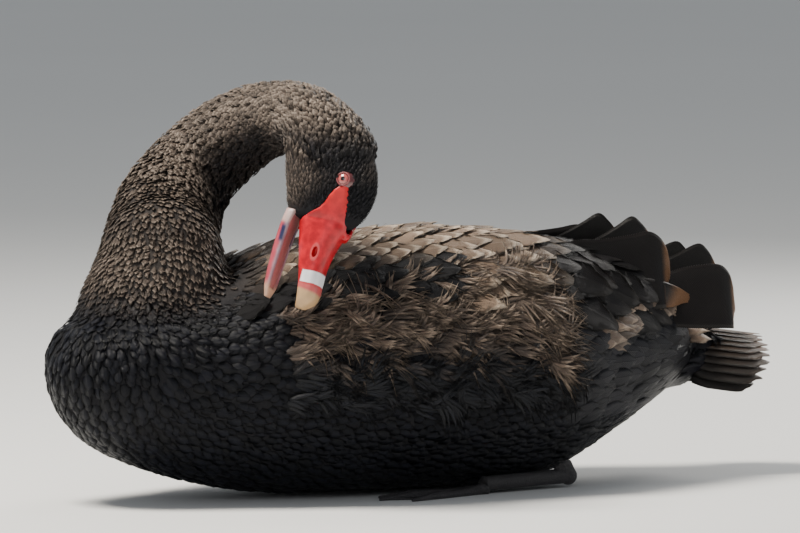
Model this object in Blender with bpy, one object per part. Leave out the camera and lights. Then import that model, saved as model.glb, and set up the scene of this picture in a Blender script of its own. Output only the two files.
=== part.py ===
"""A black swan resting on its belly and preening, life size, built from named solids.

Metres, +Z up. The tail points along +X, the breast along -X, and the bird's left side is -Y.
The flat of the belly lies at z = 0, below the middle of the body.
"""

import math
import random

import bmesh
import bpy
from mathutils import Matrix, Vector

GAP = 0.0003
WING_SEEDS = {"left": 13, "right": 25}
FLANK_SEEDS = {"left": 18, "right": 16}
WELDS = (0.00002, 0.000005, 0.0)
BODY_CLEARANCE = 0.00027

# Torso: x, top, bottom, half width and height of the widest line, from breast to rump.
TORSO_STATIONS = (
    (-0.308, 0.106, 0.084, 0.013, 0.096),
    (-0.299, 0.125, 0.062, 0.036, 0.096),
    (-0.276, 0.138, 0.039, 0.056, 0.098),
    (-0.230, 0.151, 0.019, 0.076, 0.100),
    (-0.170, 0.163, 0.004, 0.096, 0.100),
    (-0.100, 0.172, -0.006, 0.112, 0.098),
    (0.000, 0.178, -0.007, 0.116, 0.096),
    (0.080, 0.170, -0.002, 0.106, 0.096),
    (0.150, 0.152, 0.030, 0.080, 0.096),
    (0.190, 0.138, 0.052, 0.058, 0.096),
    (0.214, 0.126, 0.066, 0.038, 0.096),
)
TORSO_TOP_ROUNDNESS = 2.25
TORSO_RINGS = 20
TORSO_SIDES = 28
BELLY_FLOOR = 0.0
RUMP_X = 0.214

# Neck: x, y, z and radius along its middle line, from inside the breast to inside the head.
NECK_ROUTE = (
    (-0.212, 0.000, 0.078, 0.060),
    (-0.226, 0.003, 0.104, 0.064),
    (-0.223, 0.006, 0.128, 0.058),
    (-0.214, 0.010, 0.155, 0.053),
    (-0.205, 0.023, 0.180, 0.045),
    (-0.193, 0.038, 0.200, 0.040),
    (-0.176, 0.046, 0.219, 0.036),
    (-0.161, 0.043, 0.237, 0.033),
    (-0.148, 0.024, 0.256, 0.031),
    (-0.141, -0.006, 0.269, 0.028),
    (-0.140, -0.041, 0.275, 0.025),
    (-0.138, -0.073, 0.271, 0.026),
    (-0.136, -0.100, 0.254, 0.026),
    (-0.136, -0.112, 0.236, 0.019),
)
NECK_SIDES = 18
NECK_STEPS = 2
NECK_JOINTS = (3, 6, 8, 10)
NECK_NAMES = ("neck_base", "neck_middle", "neck_upper")
CROP_CENTRE = Vector((-0.212, 0.010, 0.176))
CROP_RADII = (0.0465, 0.044, 0.044)
CROP_FACES = (20, 12)

# Head frame: the origin lies midway between the eyes; lengths are along bill, crown and right side.
HEAD_ORIGIN = Vector((-0.1344, -0.1143, 0.2273))
BILL_WAY = Vector((-0.347, 0.004, -0.938)).normalized()
CROWN_WAY = Vector((0.595, -0.772, -0.223))
HEAD_STATIONS = (
    (-0.051, -0.018, -0.032, 0.007, -0.025),
    (-0.046, -0.006, -0.042, 0.016, -0.024),
    (-0.036, 0.004, -0.051, 0.0215, -0.022),
    (-0.020, 0.0155, -0.054, 0.0245, -0.018),
    (-0.005, 0.0215, -0.051, 0.0240, -0.014),
    (0.008, 0.0225, -0.0465, 0.0225, -0.012),
    (0.020, 0.0190, -0.0415, 0.0195, -0.011),
    (0.028, 0.0145, -0.0385, 0.0170, -0.011),
    (0.033, 0.0110, -0.0370, 0.0158, -0.011),
)
HEAD_RINGS = 12
HEAD_SIDES = 20
BILL_BASE = 0.033
UPPER_BILL_STATIONS = (
    (0.033, 0.0095, -0.0262, 0.0152, -0.0085),
    (0.040, 0.0062, -0.0240, 0.0144, -0.0085),
    (0.050, 0.0036, -0.0210, 0.0134, -0.0085),
    (0.062, 0.0020, -0.0172, 0.0126, -0.0075),
    (0.074, 0.0022, -0.0136, 0.0124, -0.0055),
    (0.082, 0.0024, -0.0120, 0.0114, -0.0048),
    (0.088, 0.0004, -0.0112, 0.0090, -0.0054),
    (0.0925, -0.0045, -0.0112, 0.0048, -0.0080),
)
LOWER_BILL_STATIONS = (
    (0.033, -0.0285, -0.0378, 0.0134, -0.0310),
    (0.045, -0.0298, -0.0388, 0.0122, -0.0320),
    (0.060, -0.0304, -0.0386, 0.0114, -0.0325),
    (0.074, -0.0308, -0.0378, 0.0108, -0.0328),
    (0.084, -0.0312, -0.0366, 0.0092, -0.0328),
    (0.0905, -0.0322, -0.0350, 0.0052, -0.0335),
)
BILL_RINGS = 11
BILL_SIDES = 18
BILL_ROUNDNESS = 2.9
MOUTH_TROUGH_DEPTH = 0.0035
MOUTH_WALL = 0.0022
TONGUE_INSET = 0.0020
TONGUE_TIP = 0.079
HEAD_ROUNDNESS = 2.1
TROUGH_FACES = (6, 10)
TROUGH_ROUNDNESS = 2.4
TONGUE_FACES = (4, 8)
TONGUE_ROUNDNESS = 2.2
NOSTRIL_AT = (0.0525, -0.0055)
NOSTRIL_SIZE = (0.0042, 0.0022, 0.0035)
NOSTRIL_FACES = (10, 6)
EYE_RADIUS = 0.0080
EYE_SIDE = 0.0140
EYE_AT = (-0.0015, 0.0015)
EYE_OPENING = 0.0048
LID_THICKNESS = 0.0013
LID_FACES = (16, 10)
EYE_FACES = (16, 9)

# Wings: lengths along x; angles run from the middle of the back down the side, in degrees.
WING_FRONT = 5
WING_BACK = 19
WING_LINES = (0, 5)
WING_THICKNESS = (
    (-0.300, 0.003),
    (-0.190, 0.004),
    (-0.150, 0.007),
    (-0.080, 0.0095),
    (0.020, 0.0105),
    (0.090, 0.013),
    (0.150, 0.016),
    (0.200, 0.010),
    (0.214, 0.006),
)
# Rows of overlapping wing feathers: x of the roots, length, width, how many, first and last angle.
WING_ROWS = (
    (-0.166, 0.042, 0.028, 2, 42.0, 53.0),
    (-0.146, 0.048, 0.030, 3, 26.0, 52.0),
    (-0.116, 0.054, 0.032, 4, 12.0, 52.0),
    (-0.080, 0.062, 0.035, 4, 12.0, 52.0),
    (-0.040, 0.068, 0.037, 4, 12.0, 52.0),
    (0.004, 0.072, 0.038, 4, 12.0, 52.0),
    (0.048, 0.074, 0.036, 4, 11.0, 52.0),
    (0.096, 0.078, 0.034, 2, 10.0, 27.0),
    (0.132, 0.076, 0.030, 2, 10.0, 27.0),
)
SHINGLE_OUTLINE = ((0.0, 0.55), (0.45, 0.95), (0.82, 0.80), (1.0, 0.30))
SHINGLE_SINK = 0.0025
SHINGLE_ROOT_LIFT = 0.0002
SHINGLE_TIP_LIFT = 0.0028
SHINGLE_CAMBER = 0.0008
SHINGLE_VARY = 0.00025
FLANK_FRONT = 5
FLANK_BACK = 16
FLANK_LINES = (5, 10)
FLANK_THICKNESS = 0.0065
SHELL_CUT = math.radians(0.12)
SHELL_EDGE = math.radians(1.0)

# Rows of loose flank feathers: angle, length, width, how many, first and last x of the roots.
FLANK_ROWS = (
    (72.5, 0.074, 0.027, 4, -0.180, 0.036),
    (91.0, 0.074, 0.029, 4, -0.150, 0.040),
    (112.0, 0.074, 0.029, 4, -0.175, 0.026),
)
PLUME_OUTLINE = ((0.0, 0.60), (0.45, 1.0), (0.80, 0.62), (1.0, 0.12))
PLUME_HEADING = 9.0

# Long feathers over the rump: x, angle and height of the root, heading, climb and curl in degrees,
# length, width and the lean of the blade below the level in degrees.
TRAIN_STEPS = 5
TRAIN_THICKNESS = 0.0010
TRAIN_OUTLINE = (0.30, 0.72, 0.98, 1.0, 0.94, 0.58)
TRAIN_CAMBER = 0.0035
TRAIN_ROWS = (
    (0.080, 22.0, 0.008, -2.0, 4.0, 8.0, 0.088, 0.042, 45.0),
    (0.080, 38.0, 0.007, -3.0, 5.0, 10.0, 0.090, 0.044, 60.0),
    (0.096, 50.0, 0.006, -4.0, -2.0, 8.0, 0.098, 0.034, 68.0),
    (0.118, 18.0, 0.007, -3.0, -3.0, 10.0, 0.118, 0.036, 45.0),
    (0.118, 38.0, 0.007, -4.0, -6.0, 8.0, 0.114, 0.044, 62.0),
)
PRIMARY_ROWS = ((0.122, 56.0, 0.005, -9.0, -12.0, 2.0, 0.104, 0.018, 62.0),)
TAIL_STATIONS = (
    (0.2143, 0.126, 0.066, 0.038, 0.096),
    (0.232, 0.119, 0.069, 0.035, 0.094),
    (0.248, 0.110, 0.074, 0.028, 0.092),
    (0.260, 0.101, 0.081, 0.014, 0.091),
)
TAIL_SIDES = 16
TAIL_ROOT_X = 0.2195
TAIL_ROOF = (0.1085, 0.027, 0.027)
TAIL_SPREAD = 30.0
TAIL_FALL = 8.0
TAIL_PAIRS = 5
TAIL_LENGTHS = (0.079, 0.076, 0.071, 0.064, 0.056)
TAIL_HALF_SPREAD = 0.2
TAIL_THICKNESS = 0.0008
TAIL_STEP = 0.0013
TAIL_OUTLINE = ((0.0, 0.7), (0.5, 1.0), (0.88, 0.95), (1.0, 0.45))
COVERT_PLACES = (-0.55, -0.2, 0.15, 0.5)
COVERT_LENGTH = 0.052
COVERT_RISE = 0.0030

# Legs and feet: the heel lies behind, and the toes reach forward on the floor.
HEEL = (0.088, -0.060, 0.0085)
FOOT_ROOT = (0.006, -0.073, 0.0075)
KNEE = (0.062, -0.050, 0.060)
SHANK_RADIUS = 0.0055
TOE_RADIUS = 0.0042
TOE_STEPS = 3
TOE_SIDES = 6
TOE_ENDS = ((-0.076, -0.062, 0.0), (-0.086, -0.079, 0.0), (-0.070, -0.097, 0.0))
HIND_TOE = ((0.014, -0.079, 0.0), (0.032, -0.087, 0.0))
WEB_THICKNESS = 0.0016
WEB_HOLLOW = 0.010
WEB_SHARES = (0.02, 0.5, 1.0)


def clear_scene():
    """Removes what the startup scene holds."""
    for thing in list(bpy.data.objects):
        bpy.data.objects.remove(thing, do_unlink=True)


def new_collection(name, hidden=False):
    """A collection linked to the scene; a hidden one stays out of the render."""
    made = bpy.data.collections.new(name)
    bpy.context.scene.collection.children.link(made)
    made.hide_render = hidden
    return made


def new_material(name, colour, roughness, metallic=0.0):
    """A Principled material of one colour."""
    made = bpy.data.materials.new(name)
    made.use_nodes = True
    shader = made.node_tree.nodes["Principled BSDF"]
    shader.inputs["Base Color"].default_value = (*colour, 1.0)
    shader.inputs["Roughness"].default_value = roughness
    shader.inputs["Metallic"].default_value = metallic
    made.diffuse_color = (*colour, 1.0)
    return made


def smooth_curve(xs, ys, x):
    """The value at x of a smooth curve through the points (xs, ys)."""
    last = len(xs) - 1
    x = min(max(x, xs[0]), xs[last])
    i = min(max(k for k in range(last + 1) if xs[k] <= x), last - 1)
    slopes = []
    for k in (i, i + 1):
        before, after = max(k - 1, 0), min(k + 1, last)
        slopes.append((ys[after] - ys[before]) / (xs[after] - xs[before]))
    span = xs[i + 1] - xs[i]
    t = (x - xs[i]) / span
    return (
        (2 * t**3 - 3 * t**2 + 1) * ys[i]
        + (t**3 - 2 * t**2 + t) * span * slopes[0]
        + (3 * t**2 - 2 * t**3) * ys[i + 1]
        + (t**3 - t**2) * span * slopes[1]
    )


def station_values(stations, x):
    """Every column of a station table, read smoothly at x."""
    xs = [row[0] for row in stations]
    return [smooth_curve(xs, [row[k] for row in stations], x) for k in range(1, len(stations[0]))]


def signed_power(value, power):
    """The value's size raised to a power, with its sign kept."""
    return math.copysign(abs(value) ** power, value)


def oval(around, power):
    """Across and up on a rounded-box outline of half size 1, with angle 0 at the top."""
    return signed_power(math.sin(around), 2 / power), signed_power(math.cos(around), 2 / power)


def torso_surface(x, around):
    """A point of the torso's surface; the angle runs from the back down the left side."""
    top, bottom, half_width, middle = station_values(TORSO_STATIONS, x)
    across, rise = oval(around, TORSO_TOP_ROUNDNESS if math.cos(around) > 0 else 2.0)
    height = middle + rise * ((top - middle) if rise > 0 else (middle - bottom))
    return Vector((x, -half_width * across, max(height, BELLY_FLOOR)))


def torso_point(x, around, raise_by=0.0):
    """A point the given height above the torso's surface, measured straight out from it."""
    point = torso_surface(x, around)
    if not raise_by:
        return point
    step, turn = 0.002, 0.02
    ahead = torso_surface(x + step, around) - torso_surface(x - step, around)
    across = torso_surface(x, around + turn) - torso_surface(x, around - turn)
    normal = across.cross(ahead).normalized()
    return point + normal * raise_by


def turn_outward(bm):
    """Turns the faces of a closed bmesh outward, also those of a thin curved piece."""
    bmesh.ops.recalc_face_normals(bm, faces=bm.faces)
    if bm.calc_volume(signed=True) < 0:
        bmesh.ops.reverse_faces(bm, faces=bm.faces)


def finish_mesh(name, bm, collection, material=None):
    """Puts a bmesh into a new object with its faces turned outward."""
    turn_outward(bm)
    mesh = bpy.data.meshes.new(name)
    bm.to_mesh(mesh)
    bm.free()
    made = bpy.data.objects.new(name, mesh)
    collection.objects.link(made)
    if material:
        mesh.materials.append(material)
    return made


def loft(rings):
    """A closed bmesh of triangles through rings of points, alike on both halves, with flat ends."""
    bm = bmesh.new()
    loops = [[bm.verts.new(p) for p in ring] for ring in rings]
    count = len(loops[0])
    for lower, upper in zip(loops, loops[1:]):
        for k in range(count):
            following = (k + 1) % count
            corners = [lower[k], lower[following], upper[following], upper[k]]
            if k >= count // 2:
                corners = corners[1:] + corners[:1]
            bm.faces.new(corners[:3])
            bm.faces.new((corners[0], corners[2], corners[3]))
    ends = [bm.faces.new(loop) for loop in (loops[0], loops[-1])]
    bmesh.ops.triangulate(bm, faces=ends)
    return bm


def slab(upper, lower, shaft=0):
    """A closed bmesh between two grids of points, its triangles alike on both faces.

    The triangles of the columns before the shaft mirror those of the columns after it.
    """
    bm = bmesh.new()
    rows, columns = len(upper), len(upper[0])
    sheets = [[[bm.verts.new(p) for p in row] for row in grid] for grid in (upper, lower)]
    for sheet in sheets:
        for i in range(rows - 1):
            for k in range(columns - 1):
                corners = [sheet[i][k], sheet[i][k + 1], sheet[i + 1][k + 1], sheet[i + 1][k]]
                if k < shaft:
                    corners = corners[1:] + corners[:1]
                bm.faces.new((corners[0], corners[1], corners[2]))
                bm.faces.new((corners[0], corners[2], corners[3]))
    rim = [(0, k) for k in range(columns)]
    rim += [(i, columns - 1) for i in range(1, rows)]
    rim += [(rows - 1, k) for k in range(columns - 2, -1, -1)]
    rim += [(i, 0) for i in range(rows - 2, 0, -1)]
    for (i, k), (j, m) in zip(rim, rim[1:] + rim[:1]):
        corners = (sheets[0][i][k], sheets[0][j][m], sheets[1][j][m], sheets[1][i][k])
        bm.faces.new((corners[0], corners[1], corners[2]))
        bm.faces.new((corners[0], corners[2], corners[3]))
    return bm


def welded(mesh, distance):
    """A bmesh of the mesh with near points merged and slivers dissolved."""
    bm = bmesh.new()
    bm.from_mesh(mesh)
    if distance:
        bmesh.ops.remove_doubles(bm, verts=bm.verts, dist=distance)
        bmesh.ops.dissolve_degenerate(bm, dist=distance, edges=bm.edges)
    bmesh.ops.triangulate(bm, faces=bm.faces)
    return bm


def largest_surface(made):
    """Keeps only the largest closed surface of an object's mesh, welded as far as it stays closed."""
    for distance in WELDS:
        bm = welded(made.data, distance)
        if all(edge.is_manifold for edge in bm.edges) or distance == WELDS[-1]:
            break
        bm.free()
    unseen = set(bm.verts)
    groups = []
    while unseen:
        front = [unseen.pop()]
        group = set(front)
        while front:
            for edge in front.pop().link_edges:
                for vert in edge.verts:
                    if vert in unseen:
                        unseen.discard(vert)
                        group.add(vert)
                        front.append(vert)
        groups.append(group)
    groups.sort(key=len, reverse=True)
    spare = [vert for group in groups[1:] for vert in group]
    bmesh.ops.delete(bm, geom=spare, context="VERTS")
    turn_outward(bm)
    bm.to_mesh(made.data)
    bm.free()


def combine(made, pieces, operation):
    """Fuses pieces with an object or cuts them from it, in one Boolean on their collection."""
    group = new_collection(made.name + "_" + operation.lower(), hidden=True)
    for piece in pieces:
        for holder in list(piece.users_collection):
            holder.objects.unlink(piece)
        group.objects.link(piece)
    modifier = made.modifiers.new(operation.title(), "BOOLEAN")
    modifier.operation = operation
    modifier.operand_type = "COLLECTION"
    modifier.collection = group
    modifier.solver = "MANIFOLD"
    bpy.context.view_layer.update()
    fused = bpy.data.meshes.new_from_object(made.evaluated_get(bpy.context.evaluated_depsgraph_get()))
    made.modifiers.clear()
    old = made.data
    made.data = fused
    bpy.data.meshes.remove(old)
    for piece in pieces:
        bpy.data.objects.remove(piece, do_unlink=True)
    bpy.data.collections.remove(group)
    largest_surface(made)
    return made


def torso_grid(first_ring, last_ring, first_line, last_line):
    """The x of rings and the angles of lines shared by the torso and what lies on it."""
    xs = [ring_x(i) for i in range(first_ring, last_ring + 1)]
    angles = [2 * math.pi * k / TORSO_SIDES for k in range(first_line, last_line + 1)]
    return xs, angles


def ring_x(i):
    """The x of the torso's ring i, closer together at the breast."""
    share = i / TORSO_RINGS
    start, end = TORSO_STATIONS[0][0], RUMP_X
    return start + (end - start) * (share - math.sin(math.pi * share) * math.cos(math.pi * share / 2) * 0.16)


def torso_loft(raise_by=0.0):
    """The body from breast to rump, without the neck."""
    xs, angles = torso_grid(0, TORSO_RINGS, 0, TORSO_SIDES - 1)
    return loft([[torso_point(x, a, raise_by) for a in angles] for x in xs])


def neck_frames():
    """Centre, radius, tangent and two crossing directions at every ring along the neck."""
    keys = list(range(len(NECK_ROUTE)))
    count = (len(NECK_ROUTE) - 1) * NECK_STEPS
    places = [i / NECK_STEPS for i in range(count + 1)]
    columns = [[row[k] for row in NECK_ROUTE] for k in range(4)]
    centres = [Vector([smooth_curve(keys, columns[k], p) for k in range(3)]) for p in places]
    radii = [smooth_curve(keys, columns[3], p) for p in places]
    frames = []
    side = Vector((0.0, 1.0, 0.0))
    for i, centre in enumerate(centres):
        before, after = centres[max(i - 1, 0)], centres[min(i + 1, count)]
        tangent = (after - before).normalized()
        side = (side - tangent * side.dot(tangent)).normalized()
        frames.append((centre, radii[i], tangent, side, tangent.cross(side)))
    return frames


def neck_rings(first, last, start_shift=0.0, end_shift=0.0, grow=0.0):
    """Rings of the neck between two points of its route, with the end rings shifted along it."""
    rings = []
    frames = neck_frames()[first * NECK_STEPS : last * NECK_STEPS + 1]
    for i, (centre, radius, tangent, side, other) in enumerate(frames):
        shift = start_shift if i == 0 else end_shift if i == len(frames) - 1 else 0.0
        ring = []
        for k in range(NECK_SIDES):
            angle = 2 * math.pi * k / NECK_SIDES
            spoke = side * math.cos(angle) + other * math.sin(angle)
            ring.append(centre + tangent * shift + spoke * (radius + grow))
        rings.append(ring)
    return rings


def ellipsoid(name, centre, radii, collection, segments=24, rings=14, axes=None):
    """A closed ellipsoid about a centre, along the given axes."""
    bm = bmesh.new()
    bmesh.ops.create_uvsphere(bm, u_segments=segments, v_segments=rings, radius=1.0)
    frame = Matrix.Identity(3) if axes is None else Matrix(axes).transposed()
    for vert in bm.verts:
        vert.co = centre + frame @ Vector([vert.co[k] * radii[k] for k in range(3)])
    return finish_mesh(name, bm, collection)


def head_axes():
    """Directions along the bill, to the crown and to the bird's right side."""
    crown = (CROWN_WAY - BILL_WAY * CROWN_WAY.dot(BILL_WAY)).normalized()
    return BILL_WAY, crown, BILL_WAY.cross(crown)


def head_point(forward, up, right):
    """The place of a point given in the head's own lengths."""
    along, crown, side = head_axes()
    return HEAD_ORIGIN + along * forward + crown * up + side * right


def head_loft(stations, ring_count, sides, power, start=None, end=None):
    """A loft across a table of stations laid along the bill."""
    start = stations[0][0] if start is None else start
    end = stations[-1][0] if end is None else end
    rings = []
    for i in range(ring_count + 1):
        f = start + (end - start) * i / ring_count
        top, bottom, half_width, middle = station_values(stations, f)
        ring = []
        for k in range(sides):
            across, rise = oval(2 * math.pi * k / sides, power)
            up = middle + rise * ((top - middle) if rise > 0 else (middle - bottom))
            ring.append(head_point(f, up, half_width * across))
        rings.append(ring)
    return loft(rings)


def build_torso(col, materials):
    """Breast, back, belly and rump in one piece, with a seat for the neck."""
    torso = finish_mesh("torso", torso_loft(), col, materials["torso"])
    root = finish_mesh("neck_root", loft(neck_rings(0, NECK_JOINTS[0])), col)
    combine(torso, [root], "UNION")
    above = loft(neck_rings(NECK_JOINTS[0], NECK_JOINTS[1] + 1, grow=GAP))
    above_piece = finish_mesh("neck_seat", above, col)
    crop = ellipsoid("crop_seat", CROP_CENTRE, [r + GAP for r in CROP_RADII], col, *CROP_FACES)
    combine(torso, [above_piece, crop], "DIFFERENCE")
    return torso


def build_neck(col, materials):
    """Three lengths of the neck; the lowest carries the folded bulge over the breast."""
    made = []
    for i, name in enumerate(NECK_NAMES):
        rings = neck_rings(NECK_JOINTS[i], NECK_JOINTS[i + 1], GAP / 2 if i else GAP, -GAP / 2)
        made.append(finish_mesh(name, loft(rings), col, materials["neck"]))
    bulge = ellipsoid("crop", CROP_CENTRE, CROP_RADII, col, *CROP_FACES)
    combine(made[0], [bulge], "UNION")
    return made


def build_head(col, materials):
    """Skull and nape with raised lids, an eye socket on each side and the seat of the bill."""
    shape = head_loft(HEAD_STATIONS, HEAD_RINGS, HEAD_SIDES, HEAD_ROUNDNESS)
    head = finish_mesh("head", shape, col, materials["head"])
    nape_rings = neck_rings(NECK_JOINTS[-1], len(NECK_ROUTE) - 1, start_shift=GAP / 2)
    pieces = [finish_mesh("nape", loft(nape_rings), col)]
    cuts = []
    right = head_axes()[2]
    for sign in (1, -1):
        centre = head_point(*EYE_AT, sign * EYE_SIDE)
        lid = EYE_RADIUS + GAP + LID_THICKNESS
        pieces.append(ellipsoid("lids", centre, (lid, lid, lid), col, *LID_FACES, head_axes()))
        socket = EYE_RADIUS + GAP
        cuts.append(ellipsoid("socket", centre, (socket, socket, socket), col, *EYE_FACES, head_axes()))
        outside = centre + right * sign * EYE_RADIUS * 2.5
        cuts.append(round_rod("lid_opening", centre, outside, EYE_OPENING, col, EYE_FACES[0]))
    combine(head, pieces, "UNION")
    combine(head, cuts, "DIFFERENCE")
    return head


def round_rod(name, start, end, radius, collection, sides=12, end_radius=None):
    """A closed straight rod between two points, tapered if the end radius differs."""
    bm = bmesh.new()
    bmesh.ops.create_cone(
        bm,
        cap_ends=True,
        segments=sides,
        radius1=radius,
        radius2=radius if end_radius is None else end_radius,
        depth=(end - start).length,
    )
    turn = (end - start).to_track_quat("Z", "Y").to_matrix().to_4x4()
    bmesh.ops.transform(bm, matrix=Matrix.Translation((start + end) / 2) @ turn, verts=bm.verts)
    return finish_mesh(name, bm, collection)


def build_eyes(col, materials):
    """Two eyeballs in their sockets."""
    made = []
    for name, sign in (("eye_right", 1), ("eye_left", -1)):
        centre = head_point(*EYE_AT, sign * EYE_SIDE)
        radii = (EYE_RADIUS, EYE_RADIUS, EYE_RADIUS)
        eye = ellipsoid(name, centre, radii, col, *EYE_FACES, head_axes())
        eye.data.materials.append(materials["eye"])
        made.append(eye)
    return made


def build_bill(col, materials):
    """Upper bill with nostrils, and a hollowed lower bill that holds the tongue."""
    upper = head_loft(UPPER_BILL_STATIONS, BILL_RINGS, BILL_SIDES, BILL_ROUNDNESS, start=BILL_BASE + GAP)
    upper_bill = finish_mesh("bill_upper", upper, col, materials["bill"])
    cuts = []
    for sign in (1, -1):
        half_width = station_values(UPPER_BILL_STATIONS, NOSTRIL_AT[0])[2]
        centre = head_point(NOSTRIL_AT[0], NOSTRIL_AT[1], sign * half_width)
        cuts.append(ellipsoid("nostril", centre, NOSTRIL_SIZE, col, *NOSTRIL_FACES, head_axes()))
    combine(upper_bill, cuts, "DIFFERENCE")
    lower = head_loft(LOWER_BILL_STATIONS, BILL_RINGS, BILL_SIDES, BILL_ROUNDNESS, start=BILL_BASE + GAP)
    lower_bill = finish_mesh("bill_lower", lower, col, materials["bill"])
    trough = [
        (f, top + MOUTH_TROUGH_DEPTH, top - MOUTH_TROUGH_DEPTH, half - MOUTH_WALL, top)
        for f, top, _, half, _ in LOWER_BILL_STATIONS[:-1]
    ]
    trough_start = BILL_BASE + MOUTH_WALL
    trough_piece = finish_mesh("trough", head_loft(trough, *TROUGH_FACES, TROUGH_ROUNDNESS, start=trough_start), col)
    combine(lower_bill, [trough_piece], "DIFFERENCE")
    side, below = MOUTH_WALL + TONGUE_INSET, MOUTH_TROUGH_DEPTH + TONGUE_INSET
    tongue = [
        (f, top, top - below, half - side, top - TONGUE_INSET)
        for f, top, _, half, _ in LOWER_BILL_STATIONS[:-1]
    ]
    tongue_shape = head_loft(tongue, *TONGUE_FACES, TONGUE_ROUNDNESS, start=BILL_BASE + GAP, end=TONGUE_TIP)
    combine(lower_bill, [finish_mesh("tongue", tongue_shape, col)], "UNION")
    return [upper_bill, lower_bill]


def mirrored(points, side):
    """Points moved to the bird's right side when side is -1."""
    return [Vector((p[0], p[1] * side, p[2])) for p in points]


def cover_core(name, side, rings, lines, thickness, col, material):
    """A curved shell on the torso between two rings and two lines, with a gap below it."""
    xs, angles = torso_grid(rings[0], rings[1], lines[0], lines[1])
    angles[0] += SHELL_CUT
    angles[-1] -= SHELL_CUT
    inner, outer = [], []
    for x in xs:
        inner.append(mirrored([torso_point(x, a, GAP) for a in angles], side))
        outer.append(mirrored([torso_point(x, a, GAP + thickness(x, a)) for a in angles], side))
    return finish_mesh(name, slab(outer, inner), col, material)


def shell_limits(lines):
    """The angles between which the feathers of a shell stay, a little inside its two edges."""
    return [2 * math.pi * line / TORSO_SIDES + way * SHELL_EDGE for line, way in zip(lines, (1, -1))]


def wing_thickness(x, around):
    """How far the folded wing stands off the body."""
    xs = [row[0] for row in WING_THICKNESS]
    along = smooth_curve(xs, [row[1] for row in WING_THICKNESS], x)
    share = min(max(around / math.radians(64), 0.0), 1.0)
    return along * (0.85 + 0.5 * math.sin(math.pi * share) - 0.45 * share)


def flank_thickness(x, around):
    """How far the flank feathers stand off the body."""
    share = (math.degrees(around) - 64) / 64
    return FLANK_THICKNESS * (0.6 + 0.4 * math.sin(math.pi * min(max(share, 0), 1)))


def vane(route, half_widths, sides, camber, thickness):
    """A thin closed vane along a route; the sides point across it and the camber lifts its shaft."""
    upper, lower = [], []
    last = len(route) - 1
    for i, centre in enumerate(route):
        tangent = (route[min(i + 1, last)] - route[max(i - 1, 0)]).normalized()
        across = (sides[i] - tangent * sides[i].dot(tangent)).normalized()
        normal = tangent.cross(across).normalized()
        half = thickness[i] / 2
        rows = ([], [])
        for share in (-1.0, 0.0, 1.0):
            middle = centre + across * share * half_widths[i] + normal * camber[i] * (1 - share**2)
            rows[0].append(middle + normal * half)
            rows[1].append(middle - normal * half)
        upper.append(rows[0])
        lower.append(rows[1])
    return slab(upper, lower, shaft=1)


def bent_route(start, heading, climb, curl, length, steps):
    """Points along a feather that sets off at a climb and curls over, with its heading on the ground."""
    points = [start.copy()]
    for i in range(steps):
        share = (i + 0.5) / steps
        pitch = climb - curl * share**1.5
        level = math.cos(pitch)
        way = Vector((math.cos(heading) * level, -math.sin(heading) * level, math.sin(pitch)))
        points.append(points[-1] + way * length / steps)
    return points


def shingle(x, around, heading, length, width, outline, base, depth, limits, side, col):
    """A feather lying on a shell, its root let in and its tip raised over the next row."""
    upper, lower = [], []
    for share, half_share in outline:
        rows = ([], [])
        for across in (-1.0, 0.0, 1.0):
            pulled = share - (0.10 if across and share == 1.0 else 0.0)
            along = pulled * length
            sideways = across * half_share * width / 2
            place_x = x + along * math.cos(heading) - sideways * math.sin(heading)
            girth = max(station_values(TORSO_STATIONS, place_x)[2], 0.05)
            angle = around + (along * math.sin(heading) + sideways * math.cos(heading)) / girth
            angle = max(angle, limits[0] + (1 + across) * SHELL_EDGE)
            angle = min(angle, limits[1] - (1 - across) * SHELL_EDGE)
            surface = GAP + base(place_x, angle)
            lift = SHINGLE_ROOT_LIFT + (SHINGLE_TIP_LIFT - SHINGLE_ROOT_LIFT) * pulled
            lift += SHINGLE_CAMBER * (1 - abs(across)) + depth
            rows[0].append(torso_point(place_x, angle, surface + lift))
            rows[1].append(torso_point(place_x, angle, surface - SHINGLE_SINK + 2 * depth))
        upper.append(mirrored(rows[0], side))
        lower.append(mirrored(rows[1], side))
    return finish_mesh("shingle", slab(upper, lower, shaft=1), col)


def train_feather(row, side, col):
    """A long blade over the rump, standing on edge as it leaves the wing."""
    x, angle, rise, heading, climb, curl, length, width, lean = row
    angle, heading, climb, curl, lean = (math.radians(turn) for turn in (angle, heading, climb, curl, lean))
    route = bent_route(torso_point(x, angle, rise), heading, climb, curl, length, TRAIN_STEPS)
    down = Vector((0.0, -math.cos(lean), -math.sin(lean)))
    widths = [width / 2 * share for share in TRAIN_OUTLINE]
    cambers = [TRAIN_CAMBER * share * width / 0.042 for share in TRAIN_OUTLINE]
    count = len(route)
    bm = vane(route, widths, [down] * count, cambers, [TRAIN_THICKNESS] * count)
    if side < 0:
        bmesh.ops.scale(bm, vec=(1, -1, 1), verts=bm.verts)
    return finish_mesh("train", bm, col)


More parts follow.
